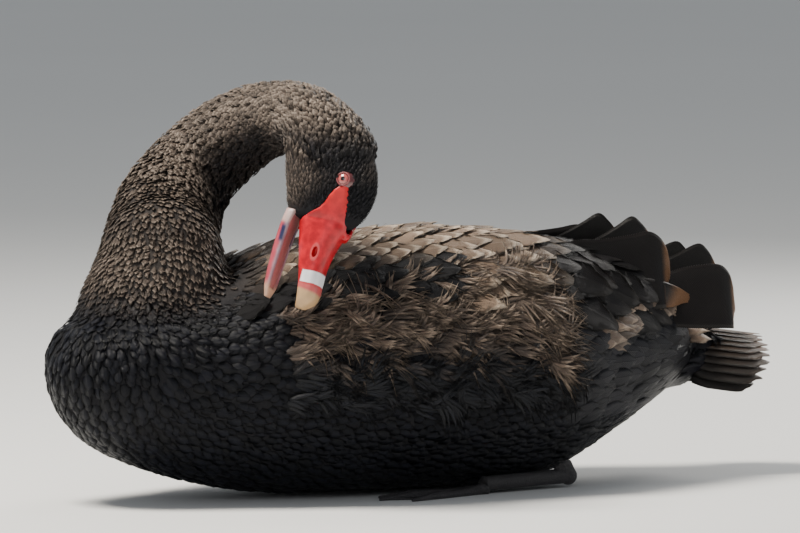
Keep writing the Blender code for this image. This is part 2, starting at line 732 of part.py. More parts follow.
def build_wing(word, side, col, materials):
    """A folded wing: rows of feathers on its shell and the long feathers over the rump."""
    rng = random.Random(WING_SEEDS[word])
    name = "wing_" + word
    rings = (WING_FRONT, WING_BACK)
    wing = cover_core(name, side, rings, WING_LINES, wing_thickness, col, materials["wing"])
    limits = shell_limits(WING_LINES)
    pieces = []
    for r, (x, length, width, count, first, last) in enumerate(WING_ROWS):
        for k in range(count):
            share = (k + 0.5 * (r % 2) * (count > 2)) / max(count - 1, 1)
            if share > 1.0:
                continue
            angle = math.radians(first + (last - first) * share)
            heading = math.radians(1.0 + 6.0 * share + rng.uniform(-3.0, 3.0))
            size = rng.uniform(0.94, 1.06)
            start = x + rng.uniform(-0.004, 0.004) - 0.006 * share
            depth = rng.uniform(-SHINGLE_VARY, SHINGLE_VARY)
            shape = (heading, length * size, width, SHINGLE_OUTLINE, wing_thickness, depth, limits)
            pieces.append(shingle(start, angle, *shape, side, col))
    pieces += [train_feather(row, side, col) for row in TRAIN_ROWS + PRIMARY_ROWS]
    combine(wing, pieces, "UNION")
    clear = [finish_mesh("neck_clear", loft(neck_rings(0, NECK_JOINTS[1], grow=GAP)), col)]
    clear.append(ellipsoid("crop_clear", CROP_CENTRE, [r + GAP for r in CROP_RADII], col, *CROP_FACES))
    clear.append(finish_mesh("body_clear", torso_loft(BODY_CLEARANCE), col))
    combine(wing, clear, "DIFFERENCE")
    return wing


def build_flank(word, side, col, materials):
    """Loose feathers along the side, between the wing and the belly."""
    rng = random.Random(FLANK_SEEDS[word])
    name = "flank_" + word
    rings = (FLANK_FRONT, FLANK_BACK)
    flank = cover_core(name, side, rings, FLANK_LINES, flank_thickness, col, materials["flank"])
    limits = shell_limits(FLANK_LINES)
    pieces = []
    for angle, length, width, count, first, last in FLANK_ROWS:
        for k in range(count):
            x = first + (last - first) * k / (count - 1) + rng.uniform(-0.004, 0.004)
            heading = math.radians(PLUME_HEADING * (1 - (angle - 70) / 48) + rng.uniform(-4.0, 4.0))
            size = rng.uniform(0.92, 1.08)
            depth = rng.uniform(-SHINGLE_VARY, SHINGLE_VARY)
            shape = (heading, length * size, width, PLUME_OUTLINE, flank_thickness, depth, limits)
            pieces.append(shingle(x, math.radians(angle), *shape, side, col))
    combine(flank, pieces, "UNION")
    clear = [finish_mesh("body_clear", torso_loft(BODY_CLEARANCE), col)]
    combine(flank, clear, "DIFFERENCE")
    return flank


def tail_core(name, col, material=None):
    """The fleshy end of the rump that holds the tail feathers."""
    rings = []
    for x, top, bottom, half_width, middle in TAIL_STATIONS:
        ring = []
        for k in range(TAIL_SIDES):
            across, rise = oval(2 * math.pi * k / TAIL_SIDES, TORSO_TOP_ROUNDNESS)
            height = middle + rise * ((top - middle) if rise > 0 else (middle - bottom))
            ring.append(Vector((x, -half_width * across, height)))
        rings.append(ring)
    return finish_mesh(name, loft(rings), col, material)


def tail_point(along, spread, rise):
    """A point of the tail's roof; spread runs from -1 at the right edge to 1 at the left edge."""

    def roof(distance, place):
        ridge, drop, half_width = TAIL_ROOF
        turn = math.radians(TAIL_SPREAD) * place
        x = TAIL_ROOT_X + distance * math.cos(turn)
        y = -half_width * place - distance * math.sin(turn)
        return Vector((x, y, ridge - drop * place**2 - distance * math.sin(math.radians(TAIL_FALL))))

    step = 0.01
    ahead = roof(along + step, spread) - roof(along, spread)
    across = roof(along, spread + step) - roof(along, spread - step)
    return roof(along, spread) + across.cross(ahead).normalized() * rise


def tail_feather(place, length, half_spread, rise, col):
    """One feather of the fan, lying in the tail's roof at its own height."""
    upper, lower = [], []
    for share, half_share in TAIL_OUTLINE:
        rows = ([], [])
        for across in (-1.0, 0.0, 1.0):
            along = length * (share - (0.05 if across and share == 1.0 else 0.0))
            spread = place + across * half_share * half_spread
            rows[0].append(tail_point(along, spread, rise + TAIL_THICKNESS / 2))
            rows[1].append(tail_point(along, spread, rise - TAIL_THICKNESS / 2))
        upper.append(rows[0])
        lower.append(rows[1])
    return finish_mesh("tail_feather", slab(upper, lower, shaft=1), col)


def build_tail(col, materials):
    """A short roofed tail: a fan of stiff feathers, the middle ones on top, under a few coverts."""
    tail = tail_core("tail", col, materials["tail"])
    pieces = []
    for side in (1, -1):
        for pair in range(TAIL_PAIRS):
            place = side * (pair + 0.5) / TAIL_PAIRS
            rise = (TAIL_STEP if side < 0 else 0.0) - TAIL_STEP * pair
            pieces.append(tail_feather(place, TAIL_LENGTHS[pair], TAIL_HALF_SPREAD, rise, col))
    for k, place in enumerate(COVERT_PLACES):
        rise = COVERT_RISE + TAIL_STEP * (k % 2)
        pieces.append(tail_feather(place, COVERT_LENGTH, TAIL_HALF_SPREAD, rise, col))
    combine(tail, pieces, "UNION")
    clear = [finish_mesh("body_clear", torso_loft(BODY_CLEARANCE), col)]
    combine(tail, clear, "DIFFERENCE")
    return tail


def build_leg(word, side, col, materials):
    """A shank lying back under the flank, with the end of the shin let into the belly."""
    heel, foot, knee = (mirrored([Vector(p)], side)[0] for p in (HEEL, FOOT_ROOT, KNEE))
    leg = round_rod("leg_" + word, heel, foot - (foot - heel).normalized() * GAP, SHANK_RADIUS, col, 12)
    leg.data.materials.append(materials["foot"])
    shin = round_rod("shin", heel, knee, SHANK_RADIUS * 1.2, col, 12, SHANK_RADIUS * 2)
    joint = ellipsoid("heel_joint", heel, (SHANK_RADIUS * 1.25,) * 3, col, 12, 7)
    combine(leg, [shin, joint], "UNION")
    body = finish_mesh("body_clear", torso_loft(GAP), col)
    combine(leg, [body], "DIFFERENCE")
    return leg


def toe(name, start, end, radius, side, col):
    """A toe lying on the floor, round above and flat below."""
    rows = []
    start, end = Vector(start), Vector(end)
    way = (end - start).normalized()
    across = Vector((-way.y, way.x, 0.0))
    for i in range(TOE_STEPS + 1):
        share = i / TOE_STEPS
        size = radius * (1 - 0.35 * share) * (0.55 if share == 1 else 1.0) * (1 + 0.12 * math.cos(share * 9))
        centre = start + (end - start) * share
        ring = []
        for k in range(TOE_SIDES):
            angle = 2 * math.pi * k / TOE_SIDES
            point = centre + across * size * math.cos(angle)
            point.z = max(size * (0.8 + math.sin(angle)), 0.0)
            ring.append(point)
        rows.append(mirrored(ring, side))
    return finish_mesh(name, loft(rows), col)


def build_foot(word, side, col, materials):
    """Three webbed toes folded forward on the floor beside the belly, and the small hind toe."""
    root = Vector(FOOT_ROOT)
    foot = toe("foot_" + word, root + Vector((0.004, 0, 0)), TOE_ENDS[1], TOE_RADIUS, side, col)
    foot.data.materials.append(materials["foot"])
    pieces = [toe("toe", root, TOE_ENDS[k], TOE_RADIUS * 0.92, side, col) for k in (0, 2)]
    pieces.append(toe("hind_toe", HIND_TOE[0], HIND_TOE[1], TOE_RADIUS * 0.7, side, col))
    knuckle = mirrored([Vector((root.x, root.y, TOE_RADIUS))], side)[0]
    radii = (TOE_RADIUS * 1.5, TOE_RADIUS * 1.5, TOE_RADIUS)
    pieces.append(ellipsoid("knuckle", knuckle, radii, col, 10, 6))
    edge = [Vector(TOE_ENDS[0]), Vector(TOE_ENDS[1]), Vector(TOE_ENDS[2])]
    upper, lower = [], []
    for share in WEB_SHARES:
        line = [root.lerp(end, share * (0.93 if k == 1 else 0.9)) for k, end in enumerate(edge)]
        line = [line[0], line[0].lerp(line[1], 0.5), line[1], line[1].lerp(line[2], 0.5), line[2]]
        for k in (1, 3):
            line[k].x += WEB_HOLLOW * share
        upper.append(mirrored([Vector((p.x, p.y, WEB_THICKNESS)) for p in line], side))
        lower.append(mirrored([Vector((p.x, p.y, GAP)) for p in line], side))
    pieces.append(finish_mesh("web", slab(upper, lower), col))
    combine(foot, pieces, "UNION")
    shank_end = mirrored([Vector(FOOT_ROOT)], side)[0]
    heel = mirrored([Vector(HEEL)], side)[0]
    shank = round_rod("shank_clear", heel, shank_end, SHANK_RADIUS + GAP, col, 12)
    combine(foot, [shank], "DIFFERENCE")
    return foot


def main():
    """Builds every node of the swan."""
    clear_scene()
    col = new_collection("black_swan")
    materials = {
        "torso": new_material("torso_feathers", (0.020, 0.019, 0.021), 0.70),
        "neck": new_material("neck_feathers", (0.030, 0.026, 0.024), 0.75),
        "head": new_material("head_feathers", (0.015, 0.013, 0.014), 0.60),
        "bill": new_material("red_bill", (0.620, 0.020, 0.030), 0.35),
        "eye": new_material("eye", (0.400, 0.050, 0.050), 0.10),
        "wing": new_material("wing_feathers", (0.090, 0.060, 0.045), 0.70),
        "flank": new_material("flank_feathers", (0.080, 0.056, 0.045), 0.75),
        "tail": new_material("tail_feathers", (0.030, 0.022, 0.018), 0.65),
        "foot": new_material("foot_skin", (0.035, 0.033, 0.036), 0.55),
    }
    build_torso(col, materials)
    build_neck(col, materials)
    build_head(col, materials)
    build_eyes(col, materials)
    build_bill(col, materials)
    build_tail(col, materials)
    for word, side in (("left", 1), ("right", -1)):
        build_wing(word, side, col, materials)
        build_flank(word, side, col, materials)
        build_leg(word, side, col, materials)
        build_foot(word, side, col, materials)


if __name__ == "__main__":
    main()
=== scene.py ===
"""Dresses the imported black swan: skin, feathers, bill, eyes, legs and feet, in a plain studio."""

import logging
import math
from dataclasses import dataclass, field
from enum import Enum
from itertools import product
from typing import Sequence

import bmesh
import bpy
import numpy as np
from mathutils import Matrix, Vector
from mathutils.bvhtree import BVHTree


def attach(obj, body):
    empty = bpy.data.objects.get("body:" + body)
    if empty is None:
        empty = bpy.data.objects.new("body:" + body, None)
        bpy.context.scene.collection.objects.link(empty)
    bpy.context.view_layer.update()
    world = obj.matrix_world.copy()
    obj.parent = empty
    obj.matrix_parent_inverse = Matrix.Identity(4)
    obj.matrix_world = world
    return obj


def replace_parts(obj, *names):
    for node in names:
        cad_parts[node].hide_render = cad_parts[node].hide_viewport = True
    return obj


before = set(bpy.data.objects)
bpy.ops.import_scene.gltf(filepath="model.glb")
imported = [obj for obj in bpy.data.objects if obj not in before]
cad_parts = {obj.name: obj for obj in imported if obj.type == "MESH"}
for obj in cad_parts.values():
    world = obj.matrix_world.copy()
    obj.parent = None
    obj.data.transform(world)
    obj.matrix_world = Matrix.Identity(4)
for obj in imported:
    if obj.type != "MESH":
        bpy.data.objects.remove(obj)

log = logging.getLogger("black_swan")

BAKE_MAP = "OFBake"
VANE_MAP = "Vane"
BAKE_PATCH = 0.003
MERGE_DISTANCE = 0.00001

# Middle line of the neck from inside the breast to inside the head: x, y, z and radius in metres.
NECK_ROUTE = (
    (-0.212, 0.000, 0.078, 0.060),
    (-0.226, 0.003, 0.104, 0.064),
    (-0.223, 0.006, 0.128, 0.058),
    (-0.214, 0.010, 0.155, 0.053),
    (-0.205, 0.023, 0.180, 0.045),
    (-0.193, 0.038, 0.200, 0.040),
    (-0.176, 0.046, 0.219, 0.036),
    (-0.161, 0.043, 0.237, 0.033),
    (-0.148, 0.024, 0.256, 0.031),
    (-0.141, -0.006, 0.269, 0.028),
    (-0.140, -0.041, 0.275, 0.025),
    (-0.138, -0.073, 0.271, 0.026),
    (-0.136, -0.100, 0.254, 0.026),
    (-0.136, -0.112, 0.236, 0.019),
)
ROUTE_STEPS = 8

# The head's own frame: origin midway between the eyes, then directions along bill and to the crown.
HEAD_ORIGIN = Vector((-0.1344, -0.1143, 0.2273))
BILL_WAY = Vector((-0.347, 0.004, -0.938)).normalized()
CROWN_WAY = Vector((0.595, -0.772, -0.223))
EYE_SIDE = 0.0140
EYE_RADIUS = 0.0080
EYE_OPENING = 0.0043
EYE_AT = (-0.0015, 0.0015)
LID_HEIGHT = 0.0068

# The body's long axis, from which angles run from the middle of the back down each side.
BODY_AXIS_HEIGHT = 0.096
WING_EDGE = 64.0
FLANK_EDGE = 128.0
WING_STAND_OFF = (
    (-0.235, 0.000),
    (-0.190, 0.004),
    (-0.150, 0.007),
    (-0.080, 0.0095),
    (0.020, 0.0105),
    (0.090, 0.013),
    (0.150, 0.014),
    (0.190, 0.008),
    (0.212, 0.000),
)
FLANK_STAND_OFF = ((-0.232, 0.000), (-0.205, 0.0060), (0.060, 0.0060), (0.112, 0.000))

Array = np.ndarray


class Side(Enum):
    """The bird's two sides, with the sign of y on each."""

    LEFT = -1
    RIGHT = 1

    @property
    def word(self) -> str:
        """The side's name in lower case."""
        return self.name.lower()


def smoothstep(low: float, high: float, value: Array) -> Array:
    """Rises smoothly from 0 at low to 1 at high."""
    share = np.clip((value - low) / (high - low), 0.0, 1.0)
    return share * share * (3.0 - 2.0 * share)


def unit(vectors: Array) -> Array:
    """Vectors of length 1 along the last axis."""
    return vectors / np.maximum(np.linalg.norm(vectors, axis=-1, keepdims=True), 1e-9)


def head_axes() -> tuple[Vector, Vector, Vector]:
    """Directions along the bill, to the crown and to the bird's right side."""
    crown = (CROWN_WAY - BILL_WAY * CROWN_WAY.dot(BILL_WAY)).normalized()
    return BILL_WAY, crown, BILL_WAY.cross(crown)


def head_point(forward: float, up: float, right: float) -> Vector:
    """The place of a point given in the head's own lengths."""
    along, crown, side = head_axes()
    return HEAD_ORIGIN + along * forward + crown * up + side * right


def head_lengths(points: Array) -> Array:
    """Points turned into lengths along the bill, to the crown and to the right."""
    axes = np.array([list(axis) for axis in head_axes()])
    return (points - np.array(HEAD_ORIGIN)) @ axes.T


@dataclass(frozen=True)
class Route:
    """A smooth line through the neck with its radius at every sample.

    Attributes:
        points: Samples along the line.
        radii: Radius of the neck at each sample.
        tangents: Unit direction towards the head at each sample.
        arc: Length along the line at each sample.
    """

    points: Array
    radii: Array
    tangents: Array
    arc: Array

    @classmethod
    def through(cls, rows: Sequence[Sequence[float]], steps: int) -> "Route":
        """Draws a smooth curve through rows of x, y, z and radius.

        Args:
            rows: The rows that the curve passes through.
            steps: Samples between one row and the next.

        Returns:
            The sampled route.
        """
        keys = np.array(rows, float)
        padded = np.vstack([2 * keys[0] - keys[1], keys, 2 * keys[-1] - keys[-2]])
        samples = []
        for i in range(len(keys) - 1):
            a, b, c, d = padded[i : i + 4]
            for t in np.arange(steps) / steps:
                bend = (2 * a - 5 * b + 4 * c - d) * t**2 + (3 * b - a - 3 * c + d) * t**3
                samples.append(0.5 * (2 * b + (c - a) * t + bend))
        samples.append(keys[-1])
        line = np.array(samples)
        tangents = unit(np.gradient(line[:, :3], axis=0))
        lengths = np.linalg.norm(np.diff(line[:, :3], axis=0), axis=1)
        return cls(line[:, :3], line[:, 3], tangents, np.concatenate([[0.0], np.cumsum(lengths)]))

    def nearest(self, points: Array) -> tuple[Array, Array]:
        """Finds each point's nearest sample and its distance in radii.

        Args:
            points: Points in metres.

        Returns:
            Sample numbers, and distances as shares of the radius there.
        """
        gaps = np.linalg.norm(points[:, None, :] - self.points[None, :, :], axis=2)
        index = np.argmin(gaps / self.radii[None, :], axis=1)
        return index, gaps[np.arange(len(points)), index] / self.radii[index]


NECK = Route.through(NECK_ROUTE, ROUTE_STEPS)


def body_angle(points: Array) -> Array:
    """The angle of points from the middle of the back, in degrees, alike on both sides."""
    return np.degrees(np.arctan2(np.abs(points[:, 1]), points[:, 2] - BODY_AXIS_HEIGHT))


def new_object(name: str, mesh: bpy.types.Mesh) -> bpy.types.Object:
    """An object for the mesh, linked to the scene."""
    made = bpy.data.objects.new(name, mesh)
    bpy.context.scene.collection.objects.link(made)
    return made


def object_from(name: str, bm: bmesh.types.BMesh) -> bpy.types.Object:
    """Makes an object of a bmesh, with its faces turned outward and shaded smooth.

    Args:
        name: The object's name.
        bm: The bmesh, which is freed.

    Returns:
        The new object.
    """
    bmesh.ops.recalc_face_normals(bm, faces=bm.faces)
    for face in bm.faces:
        face.smooth = True
    mesh = bpy.data.meshes.new(name)
    bm.to_mesh(mesh)
    bm.free()
    return new_object(name, mesh)


def bake_modifiers(obj: bpy.types.Object) -> bpy.types.Object:
    """Applies an object's modifiers to its mesh."""
    bpy.context.view_layer.update()
    made = bpy.data.meshes.new_from_object(obj.evaluated_get(bpy.context.evaluated_depsgraph_get()))
    obj.modifiers.clear()
    old = obj.data
    obj.data = made
    bpy.data.meshes.remove(old)
    return obj


def add_modifier(obj: bpy.types.Object, kind: str, **settings: object) -> bpy.types.Object:
    """Adds one modifier of a kind with its settings, and returns the object."""
    made = obj.modifiers.new(kind.title(), kind)
    for key, value in settings.items():
        setattr(made, key, value)
    return obj


def read(items: bpy.types.bpy_prop_collection, name: str, width: int, kind: type = float) -> Array:
    """Reads one property of every item of a mesh, as rows of a width."""
    values = np.zeros(len(items) * width, kind)
    items.foreach_get(name, values)
    return values.reshape(-1, width) if width > 1 else values


def relax(bm: bmesh.types.BMesh, times: int) -> None:
    """Smooths a mesh evenly a number of times."""
    axes = {"use_axis_x": True, "use_axis_y": True, "use_axis_z": True}
    for _ in range(times):
        bmesh.ops.smooth_vert(bm, verts=bm.verts, factor=0.5, **axes)


def cut(obj: bpy.types.Object, cutters: list[bpy.types.Object], solver: str) -> None:
    """Cuts closed shapes out of an object in one Boolean, and removes the shapes.

    Args:
        obj: The object that is cut.
        cutters: The shapes to take away.
        solver: The Boolean's solver.
    """
    group = bpy.data.collections.new(obj.name + "_cuts")
    bpy.context.scene.collection.children.link(group)
    for cutter in cutters:
        bpy.context.scene.collection.objects.unlink(cutter)
        group.objects.link(cutter)
    settings = {"operation": "DIFFERENCE", "operand_type": "COLLECTION", "collection": group}
    add_modifier(obj, "BOOLEAN", solver=solver, **settings)
    bake_modifiers(obj)
    for cutter in cutters:
        bpy.data.objects.remove(cutter, do_unlink=True)
    bpy.data.collections.remove(group)


def keep_numbers(mesh: bpy.types.Mesh, name: str, values: Array) -> None:
    """Keeps one number for each of the mesh's points, under a name that shaders can read."""
    made = mesh.attributes.new(name, "FLOAT", "POINT")
    made.data.foreach_set("value", values.astype(np.float32))


def register(obj: bpy.types.Object, slot: str, finish: bpy.types.Material, *nodes: str) -> None:
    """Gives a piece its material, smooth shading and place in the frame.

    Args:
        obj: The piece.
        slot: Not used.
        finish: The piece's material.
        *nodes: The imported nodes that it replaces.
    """
    obj.data.materials.clear()
    obj.data.materials.append(finish)
    for face in obj.data.polygons:
        face.use_smooth = True
    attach(obj, "root")
    if nodes:
        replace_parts(obj, *nodes)
    log.info("%s: %d faces", obj.name, len(obj.data.polygons))


def eye_place(side: Side, out: float) -> Matrix:
    """Puts the z axis along one eye's own axis, at a distance from the head's middle.

    Args:
        side: The eye's side.
        out: The distance, in metres.

    Returns:
        The turn and shift.
    """
    turn = (head_axes()[2] * side.value).to_track_quat("Z", "Y").to_matrix().to_4x4()
    return Matrix.Translation(head_point(*EYE_AT, side.value * out)) @ turn


class Hide:
    """The bird's skin, one closed mesh under the feathers, with the lie of the coat on it."""

    def __init__(self, depths: "CoatDepths") -> None:
        """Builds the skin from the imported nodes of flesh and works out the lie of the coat.

        Args:
            depths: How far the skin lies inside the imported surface.
        """
        self.depths = depths
        self.obj = self._fuse()
        self._settle()
        self._open_eyes()
        self._unwrap()
        self._read()

    def _fuse(self) -> bpy.types.Object:
        """Fuses copies of the nodes of flesh into one smooth closed mesh."""
        bm = bmesh.new()
        for name in (*self.depths.flesh, "eye_left", "eye_right"):
            bm.from_mesh(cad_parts[name].data)
        bmesh.ops.remove_doubles(bm, verts=bm.verts, dist=MERGE_DISTANCE)
        rump = bmesh.ops.create_uvsphere(bm, u_segments=24, v_segments=14, radius=1.0)["verts"]
        size = Matrix.Diagonal((*self.depths.rump_size, 1.0))
        bmesh.ops.transform(bm, matrix=Matrix.Translation(self.depths.rump_at) @ size, verts=rump)
        obj = object_from("skin", bm)
        add_modifier(obj, "REMESH", mode="VOXEL", voxel_size=self.depths.voxel)
        bake_modifiers(obj)
        bm = bmesh.new()
        bm.from_mesh(obj.data)
        self._keep_largest(bm)
        relax(bm, self.depths.smoothings)
        bm.to_mesh(obj.data)
        bm.free()
        return obj

    @staticmethod
    def _keep_largest(bm: bmesh.types.BMesh) -> None:
        """Deletes all but the largest connected surface."""
        unseen = set(bm.verts)
        groups = []
        while unseen:
            front = [unseen.pop()]
            group = list(front)
            while front:
                for edge in front.pop().link_edges:
                    for vert in edge.verts:
                        if vert in unseen:
                            unseen.discard(vert)
                            group.append(vert)
                            front.append(vert)
            groups.append(group)
        groups.sort(key=len, reverse=True)
        spare = [vert for group in groups[1:] for vert in group]
        bmesh.ops.delete(bm, geom=spare, context="VERTS")

    def _arrays(self) -> tuple[Array, Array]:
        """The places and normals of the skin's vertices."""
        vertices = self.obj.data.vertices
        return read(vertices, "co", 3), read(vertices, "normal", 3)

    def _settle(self) -> None:
        """Raises the skin under the folded wings and flanks, and sinks it by the coat's depth."""
        points, normals = self._arrays()
        points += normals * (stand_off(points) - self.depths.at(points))[:, None]
        points[:, 2] = np.maximum(points[:, 2], self.depths.belly_clear)
        self.obj.data.vertices.foreach_set("co", points.ravel())
        self.obj.data.update()
        bm = bmesh.new()
        bm.from_mesh(self.obj.data)
        relax(bm, self.depths.settled_smoothings)
        bm.to_mesh(self.obj.data)
        bm.free()

    def _open_eyes(self) -> None:
        """Cuts a round opening in the skin over each eyeball."""
        cutters = []
        sizes = {"radius1": EYE_OPENING, "radius2": EYE_OPENING, "depth": EYE_RADIUS * 2}
        for side in Side:
            bm = bmesh.new()
            bmesh.ops.create_cone(bm, cap_ends=True, segments=32, **sizes)
            bmesh.ops.transform(bm, matrix=eye_place(side, EYE_SIDE + EYE_RADIUS), verts=bm.verts)
            cutters.append(object_from("opening_" + side.word, bm))
        cut(self.obj, cutters, "MANIFOLD")

    def _unwrap(self) -> None:
        """Unwraps the skin by its own shape for the bake."""
        self.obj.data.uv_layers.new(name=BAKE_MAP)
        bpy.context.view_layer.objects.active = self.obj
        self.obj.select_set(True)
        bpy.ops.object.mode_set(mode="EDIT")
        bpy.ops.mesh.select_all(action="SELECT")
        bpy.ops.uv.smart_project(angle_limit=math.radians(70), island_margin=0.002)
        bpy.ops.object.mode_set(mode="OBJECT")
        self.obj.select_set(False)

    def _read(self) -> None:
        """Keeps the skin's faces as arrays and smooths the lie of the coat over them."""
        mesh = self.obj.data
        points, normals = self._arrays()
        starts = read(mesh.polygons, "loop_start", 1, np.int32)
        totals = read(mesh.polygons, "loop_total", 1, np.int32)
        corners = read(mesh.loops, "vertex_index", 1, np.int32)
        owner = np.repeat(np.arange(len(totals)), totals)
        ways = self._smooth_lie(points, normals, read(mesh.edges, "vertices", 2, np.int32))
        self.face_points = self._face_mean(points[corners], owner)
        self.face_normals = unit(self._face_mean(normals[corners], owner))
        self.face_ways = unit(self._face_mean(ways[corners], owner))
        self.face_uv = self._face_mean(read(mesh.uv_layers[BAKE_MAP].data, "uv", 2), owner)
        self.face_areas = read(mesh.polygons, "area", 1)
        faces = [corners[a : a + n].tolist() for a, n in zip(starts, totals)]
        self.tree = BVHTree.FromPolygons([Vector(p) for p in points], faces)
        self.points = points

    @staticmethod
    def _face_mean(values: Array, owner: Array) -> Array:
        """Averages the values of corners over the faces that own them."""
        sums = [np.bincount(owner, values[:, k]) for k in range(values.shape[1])]
        return np.stack(sums, 1) / np.bincount(owner)[:, None]

    def _smooth_lie(self, points: Array, normals: Array, edges: Array) -> Array:
        """Works out which way feathers point at each vertex.

        Args:
            points: Vertices of the skin.
            normals: Their normals.
            edges: Pairs of vertices.

        Returns:
            Unit directions in the skin's surface.
        """
        ways = first_lie(points, normals)
        degree = np.bincount(edges.ravel(), minlength=len(points))[:, None]
        for _ in range(self.depths.lie_smoothings):
            total = ways * 1.0
            for k in range(3):
                total[:, k] += np.bincount(edges[:, 0], ways[edges[:, 1], k], len(points))
                total[:, k] += np.bincount(edges[:, 1], ways[edges[:, 0], k], len(points))
            ways = total / (degree + 1)
            ways -= normals * np.sum(ways * normals, 1, keepdims=True)
            ways = unit(ways)
        return ways

    def nearest(self, points: Array) -> tuple[Array, Array]:
        """Finds the nearest places on the skin.

        Args:
            points: Points in metres.

        Returns:
            The places, and the number of the face under each.
        """
        found = [self.tree.find_nearest(Vector(p)) for p in points]
        return np.array([f[0] for f in found]), np.array([f[2] for f in found], np.int64)

    def cast(self, origins: Array, ways: Array, reach: float = 0.4) -> tuple[Array, Array, Array]:
        """Casts rays onto the skin from inside or outside.

        Args:
            origins: Where the rays start.
            ways: Their directions.
            reach: How far they go, in metres.

        Returns:
            Which rays hit, where, and on which faces.
        """
        hits = [self.tree.ray_cast(Vector(o), Vector(w), reach) for o, w in zip(origins, ways)]
        kept = np.array([h[0] is not None for h in hits], bool)
        places = np.array([h[0] for h in hits if h[0] is not None]).reshape(-1, 3)
        return kept, places, np.array([h[2] for h in hits if h[0] is not None], np.int64)

    def cast_out(self, xs: Array, turns: Array, side: Side) -> tuple[Array, Array, Array]:
        """Casts rays from the body's long axis out to one side.

        Args:
            xs: Lengths along the body where the rays start.
            turns: Their angles from straight up, in radians.
            side: The side that they go to.

        Returns:
            Which rays hit, where, and on which faces.
        """
        flat = np.zeros(len(xs))
        origins = np.stack([xs, flat, flat + BODY_AXIS_HEIGHT], 1)
        return self.cast(origins, np.stack([flat, np.sin(turns) * side.value, np.cos(turns)], 1))

    def scatter(self, chosen: Array, spacing: float, rng: np.random.Generator) -> tuple[Array, Array]:
        """Spreads points evenly but irregularly over some of the faces.

        Args:
            chosen: One flag for each face.
            spacing: The least distance between points.
            rng: The source of chance.

        Returns:
            The points, and the face under each.
        """
        shares = np.where(chosen, self.face_areas, 0.0)
        tries = int(shares.sum() / spacing**2 * self.depths.tries)
        picked = rng.choice(len(shares), tries, p=shares / shares.sum())
        jitter = (rng.random((tries, 3)) - 0.5) * np.sqrt(shares[picked])[:, None]
        places, faces = self.nearest(self.face_points[picked] + jitter)
        cell: dict[tuple[int, int, int], list[int]] = {}
        kept = []
        for i, key in enumerate(map(tuple, np.floor(places / spacing).astype(int).tolist())):
            cells = ((key[0] + a, key[1] + b, key[2] + c) for a, b, c in product((-1, 0, 1), repeat=3))
            near = (j for place in cells for j in cell.get(place, ()))
            if all(np.dot(places[i] - places[j], places[i] - places[j]) > spacing**2 for j in near):
                cell.setdefault(key, []).append(i)
                kept.append(i)
        return places[kept], faces[kept]

    def trails(self, roots: Array, faces: Array, lengths: Array, steps: int, turn: Array) -> "Trails":
        """Walks from roots over the skin along the lie of the coat.

        Args:
            roots: Where the feathers grow.
            faces: The face under each root.
            lengths: How long each feather is.
            steps: Steps from root to tip.
            turn: How far each feather turns off the lie, in radians.

        Returns:
            The walked lines with their frames.
        """
        normals = self.face_normals[faces]
        ways = unit(self._turned_lie(faces, turn))
        lines, ups, sides = [roots], [normals], [np.cross(ways, normals)]
        here = roots
        for _ in range(steps):
            ahead = here + ways * (lengths / steps)[:, None]
            there, faces = self.nearest(ahead)
            normals = self.face_normals[faces]
            ways = unit(unit(there - here) * 0.5 + self._turned_lie(faces, turn) * 0.5)
            ways = unit(ways - normals * np.sum(ways * normals, 1, keepdims=True))
            here = there
            lines.append(here)
            ups.append(normals)
            sides.append(np.cross(ways, normals))
        return Trails(np.stack(lines, 1), unit(np.stack(ups, 1)), unit(np.stack(sides, 1)))

    def _turned_lie(self, faces: Array, turn: Array) -> Array:
        """The lie of the coat over faces, turned aside by angles in radians."""
        ways = self.face_ways[faces]
        across = np.cross(ways, self.face_normals[faces])
        return ways * np.cos(turn)[:, None] + across * np.sin(turn)[:, None]


@dataclass(frozen=True)
class Trails:
    """Lines that feathers follow.

    Attributes:
        lines: Places at each step from root to tip.
        ups: Unit directions away from the skin there.
        sides: Unit directions across the feather there.
    """

    lines: Array
    ups: Array
    sides: Array


@dataclass(frozen=True)
class CoatDepths:
    """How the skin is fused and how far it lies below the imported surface, in metres.

    Attributes:
        flesh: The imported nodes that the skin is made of.
        voxel: Size of the voxels that fuse them.
        smoothings: Smoothing passes after fusing.
        settled_smoothings: Smoothing passes after sinking.
        lie_smoothings: Smoothing passes over the lie of the coat.
        tries: Places tried for each feather that is scattered.
        neck: Depth on the neck.
        head: Depth on the head.
        face: Depth just behind the bill.
        root: Depth at the root of the bill.
        body: Depth on the body.
        belly_clear: Least height of the skin above the floor.
        rump_at: Middle of the round rump under the tail.
        rump_size: The rump's half lengths.
    """

    flesh: tuple[str, ...] = ("torso", "neck_base", "neck_middle", "neck_upper", "head")
    voxel: float = 0.0028
    smoothings: int = 7
    settled_smoothings: int = 2
    lie_smoothings: int = 24
    tries: float = 3.0
    neck: float = 0.0034
    head: float = 0.0016
    face: float = 0.0003
    root: float = 0.0022
    body: float = 0.0040
    belly_clear: float = 0.0012
    rump_at: Vector = field(default_factory=lambda: Vector((0.216, 0.0, 0.088)))
    rump_size: tuple[float, float, float] = (0.030, 0.032, 0.022)

    def at(self, points: Array) -> Array:
        """The coat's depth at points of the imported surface."""
        forward, up, _ = head_lengths(points).T
        near = (np.abs(up) < 0.07) & (points[:, 2] > 0.185) & (points[:, 1] < -0.06)
        on_neck = neck_share(points)
        depth = self.body * (1 - on_neck) + self.neck * on_neck
        stretches = ((-0.060, -0.030, self.head), (0.012, 0.032, self.face), (0.024, 0.033, self.root))
        for start, end, there in stretches:
            share = smoothstep(start, end, forward) * near
            depth = depth * (1 - share) + there * share
        return depth


